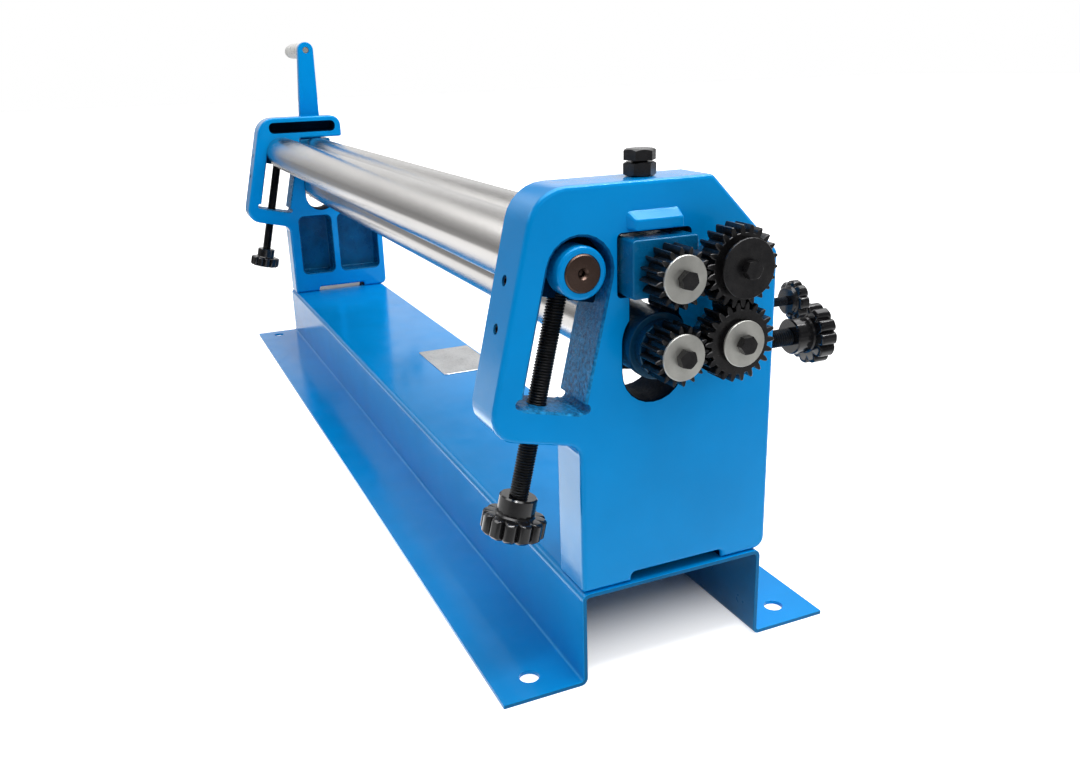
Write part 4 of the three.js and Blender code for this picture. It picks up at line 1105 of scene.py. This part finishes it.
def screws():
    down = (0, -sin(SLANT), -cos(SLANT))
    front = (0, 1, 0)
    block_front = PINCH_Y + COLLAR_RADIUS + GAP
    for name, sign in SIDES.items():
        mid = sign * MIDDLE
        top = (mid, *in_slot(0, SCREW_SHIFT))
        adjuster(f"{name}_bending", BIG_SCREW, top, down, BENDING_SCREW_TIP, BENDING_KNOB_DOWN)
        level = (mid, 0, LOWER_SCREW_Z)
        nose = (SCREW_NOSE, NOSE_TAPER)
        adjuster(f"{name}_lower", BIG_SCREW, level, front, NOSE_START, LOWER_KNOB_Y, nose)
        level = (mid + sign * LOCK_SHIFT, 0, LOCK_Z)
        adjuster(f"{name}_lock", LOCK_SCREW, level, front, block_front, LOCK_KNOB_Y)


# Crank
def crank():
    lean = acos((CRANK_ROOT_RADIUS - CRANK_TIP_RADIUS) / CRANK_REACH)
    tip = LOWER + Vector((sin(CRANK_TILT), cos(CRANK_TILT))) * CRANK_REACH
    along = (tip - LOWER).normalized()
    side = Vector((along.y, -along.x))
    rounds = (
        (tip, CRANK_TIP_RADIUS, -lean, 2 * lean),
        (LOWER, CRANK_ROOT_RADIUS, lean, 2 * pi - 2 * lean),
    )
    corners = []
    for centre, radius, first, sweep in rounds:
        for k in range(33):
            angle = first + sweep * k / 32
            spot = centre + (along * cos(angle) + side * sin(angle)) * radius
            corners.append((*spot, None))
    body = across(corners, -CRANK_OUTER, -CRANK_INNER, 1.2, 3)
    holes = [
        cutter(bore(radius, -CRANK_OUTER, -CRANK_INNER, centre, 48), TURNED)
        for radius, centre in ((SEAT, LOWER), (PIN_SEAT, tip))
    ]
    piece("crank_arm", body, BLUE, cutters=holes)
    cap("crank", -CRANK_OUTER, LOWER, WASHER_RADIUS, ZINC, GEAR_BOLT_LENGTH, facing=-1)
    at_pin = pointing((-CRANK_INNER, *tip), (-1, 0, 0))
    begin, end = GRIP_START - GAP, GRIP_START + GRIP_LENGTH + GAP
    pin = [
        (GAP, 0), (GAP, 3.6), (GAP + 0.6, PIN_SEAT), (begin, PIN_SEAT), (begin, PIN_RADIUS),
        (end, PIN_RADIUS), (end, 7.4), (end + 0.6, 8), (end + 2.2, 8), (end + 3, 6.8), (end + 3, 0),
    ]
    piece("crank_pin", moved(turned(pin, 48), at_pin), TURNED, 35)
    steps = 28
    grip = [(GRIP_START, GRIP_MOUTH)]
    for k in range(steps + 1):
        share = k / steps
        swell = GRIP_SWELL * sqrt(sin(pi * min(max(share, 0.002), 0.998)))
        grip.append((GRIP_START + GRIP_LENGTH * share, GRIP_END_RADIUS + swell))
    grip.append((GRIP_START + GRIP_LENGTH, GRIP_MOUTH))
    hole = bar(PIN_RADIUS + GAP, (-CRANK_INNER - 10, *tip), (-CRANK_INNER - 125, *tip))
    piece("crank_grip", moved(turned(grip, 64), at_pin), GRIP, cutters=[cutter(hole, GRIP)])


def data_plate():
    low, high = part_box("data_plate")
    a, b = (low - ORIGIN) / MM, (high - ORIGIN) / MM
    edge = 0.25
    levels = [(a.z, 0.0), (b.z - edge, 0.0), (b.z, edge)]
    corners = box_corners(a.x, a.y, b.x, b.y, 3)
    rings = [[Vector((*p, z)) for p in rounded(corners, inset)] for z, inset in levels]
    piece("data_plate", loft(rings), ALLOY)


base_channel()
end_frame("gear_side", 1, False)
end_frame("crank_side", -1, True)
data_plate()
fasteners()
rolls()
gear_train()
for side_name, side_sign in SIDES.items():
    upper_block(side_name, side_sign, BLOCK_REACH[side_name])
    lower_block(side_name, side_sign, BLOCK_REACH[side_name])
    bending_block(side_name, side_sign)
screws()
crank()

# The pieces hidden under washers and gears keep the solids' own shapes
for node in ("lower_gear_key", "upper_gear_key", "crank_key", "lower_idler_axle", "upper_idler_axle"):
    obj = frame["nodes"][node]
    obj.data.materials.clear()
    obj.data.materials.append(TURNED)


# Camera at the photograph's angle
CAMERA_AT = (980.0964, -299.69, 318.723)
YAW, PITCH, ROLL = 2.733, -0.3185, -0.0309
FOCAL = 32.2288
SENSOR = 36


def add_camera():
    forward = Vector((cos(PITCH) * cos(YAW), cos(PITCH) * sin(YAW), sin(PITCH)))
    right = forward.cross(Vector((0, 0, 1))).normalized()
    up = right.cross(forward)
    rolled_right = right * cos(ROLL) + up * sin(ROLL)
    rolled_up = up * cos(ROLL) - right * sin(ROLL)
    data = bpy.data.cameras.new("camera")
    data.sensor_fit = "HORIZONTAL"
    data.sensor_width = SENSOR
    data.lens = FOCAL
    data.clip_end = 50
    camera = bpy.data.objects.new("camera", data)
    turn = Matrix((rolled_right, rolled_up, -forward)).transposed().to_4x4()
    camera.matrix_world = Matrix.Translation(at(*CAMERA_AT)) @ turn
    bpy.context.scene.collection.objects.link(camera)
    bpy.context.scene.camera = camera


def add_light(name, spot, aim, size, power):
    data = bpy.data.lights.new(name, "AREA")
    data.shape = "RECTANGLE"
    data.size, data.size_y = size
    data.energy = power
    light = bpy.data.objects.new(name, data)
    light.location = spot
    light.rotation_euler = (Vector(aim) - Vector(spot)).to_track_quat("-Z", "Y").to_euler()
    bpy.context.scene.collection.objects.link(light)


# Heights on the studio's dome, from floor to zenith, and how bright reflections find it there
DOME = (
    (0.0, 0.5), (0.5, 0.25), (0.57, 0.4), (0.66, 0.9),
    (0.71, 3.0), (0.74, 3.0), (0.78, 0.8), (1.0, 0.6),
)
DOME_FRONT = (
    (0.0, 0.5), (0.5, 0.8), (0.645, 1.0), (0.665, 0.25), (0.7, 0.25), (0.73, 0.8), (1.0, 0.8),
)
FRONT_TURN = (-0.35, 0.05)
DOME_BEHIND_CAMERA = 0.2
BEHIND_TURN = (-0.1, 0.35)
DOME_ZENITH = 5.0
ZENITH_RIM = (0.8, 0.88)
DOME_LIGHT = 0.25
DOME_TOP_LIGHT = 0.75


def add_world():
    """White to the camera, softer light for the rest, and dome and dark room for reflections."""
    world = bpy.data.worlds.new("studio")
    bpy.context.scene.world = world
    world.use_nodes = True
    tree = world.node_tree
    way = split(tree, add(tree, "ShaderNodeTexCoord").outputs["Generated"])
    height = spread(tree, way["Z"], 0, 1, -1, 1)
    front = spread(tree, way["Y"], 0, 1, *FRONT_TURN)
    dome = blend(tree, front, ramp(tree, height, DOME), ramp(tree, height, DOME_FRONT))
    room = spread(tree, way["X"], 1, DOME_BEHIND_CAMERA, *BEHIND_TURN)
    zenith = spread(tree, way["Z"], 0, DOME_ZENITH, *ZENITH_RIM)
    lamps = number(tree, "MAXIMUM", number(tree, "MULTIPLY", dome, room), zenith)
    soft = spread(tree, way["Z"], DOME_LIGHT, DOME_TOP_LIGHT, 0, 1)
    ray = add(tree, "ShaderNodeLightPath").outputs
    seen = number(tree, "MAXIMUM", ray["Is Camera Ray"], ray["Is Transmission Ray"])
    unseen = blend(tree, ray["Is Glossy Ray"], soft, lamps)
    strength = blend(tree, seen, unseen, 1.0)
    feed(tree, tree.nodes["Background"], {"Color": (1, 1, 1, 1), "Strength": strength})


# The floor in metres: a bright card for reflections beside the base, shade under its channel
FLOOR_HALF = 12
BACKDROP_FADE = (0.9, 2.2)
BACKDROP_NEAR = 0.75
CARD_AT = (0.27, -0.2, 0)
CARD_RIM = (0.3, 0.12)
CARD_GLOW = 2.5
UNDER_AT = (0.042, 0.003, 0)
UNDER_ENDS = (0.5, 0.41)
UNDER_SIDES = (0.11, 0.085)
DARK_FRONT = (0.6, 1.0)
DARK_FAR = (0.9, 1.8)


def add_floor():
    mesh = bpy.data.meshes.new("floor")
    corners = [(x * FLOOR_HALF, y * FLOOR_HALF, 0) for x, y in ((-1, -1), (1, -1), (1, 1), (-1, 1))]
    mesh.from_pydata(corners, [], [(0, 1, 2, 3)])
    floor = bpy.data.objects.new("floor", mesh)
    bpy.context.scene.collection.objects.link(floor)
    material, tree, shader = nodes_of("floor_white")
    where = add(tree, "ShaderNodeTexCoord").outputs["Object"]
    away = vector(tree, "LENGTH", "Value", where)
    ray = add(tree, "ShaderNodeLightPath").outputs

    backdrop = number(tree, "MAXIMUM", ray["Is Camera Ray"], ray["Is Glossy Ray"])
    backdrop = number(tree, "MAXIMUM", backdrop, ray["Is Transmission Ray"])
    fade = spread(tree, away, BACKDROP_NEAR, 1, *BACKDROP_FADE, "SMOOTHSTEP")
    size = vector(tree, "ABSOLUTE", 0, vector(tree, "SUBTRACT", 0, where, UNDER_AT))
    sides = split(tree, size)
    deep = spread(tree, sides["X"], 0, 1, *UNDER_ENDS, "SMOOTHSTEP")
    covered = number(tree, "MULTIPLY", deep, spread(tree, sides["Y"], 0, 1, *UNDER_SIDES))
    lift = number(tree, "MULTIPLY", backdrop, fade)
    bright = number(tree, "MULTIPLY", lift, number(tree, "SUBTRACT", 1.0, covered))
    card = vector(tree, "DISTANCE", "Value", where, CARD_AT)
    card = spread(tree, card, 0, CARD_GLOW, *CARD_RIM)
    tone = spread(tree, noise(tree, 0.8), 0, 1)
    feed(tree, shader, {
        "Base Color": shade(tree, tone, (0.84, 0.84, 0.845), (0.86, 0.86, 0.86)),
        "Roughness": 0.7,
        "Specular IOR Level": 0.2,
        "Emission Color": (1, 1, 1, 1),
        "Emission Strength": number(tree, "MULTIPLY_ADD", card, ray["Is Glossy Ray"], bright),
    })

    front = spread(tree, split(tree, where)["X"], 0.3, 0.85, *DARK_FRONT)
    either = number(tree, "MAXIMUM", front, spread(tree, away, 0, 0.85, *DARK_FAR))
    shaded = number(tree, "MULTIPLY", either, ray["Is Glossy Ray"])
    dark = add(tree, "ShaderNodeEmission", {"Color": (0.1, 0.1, 0.1, 1)}).outputs[0]
    mixed = add(tree, "ShaderNodeMixShader", {0: shaded, 1: shader.outputs[0], 2: dark})
    feed(tree, tree.nodes["Material Output"], {"Surface": mixed.outputs[0]})
    mesh.materials.append(material)


add_camera()
add_world()
add_floor()

# Area lights: name, place, aim and size in metres, power in watts
add_light("overhead", (-0.2, 1.1, 2.1), (0.1, 0, 0.15), (2.2, 1.5), 24)
add_light("edge_light", (1.0, 0.5, 2.3), (0.5, 0.4, 0.3), (2.4, 0.2), 32)
add_light("front_fill", (2.4, 0.3, 1.1), (0.3, 0, 0.2), (1.2, 1.0), 3)
add_light("rear_fill", (-0.6, -1.7, 1.5), (0, 0, 0.15), (1.4, 1.0), 3.5)

bpy.context.scene.view_settings.view_transform = "Standard"
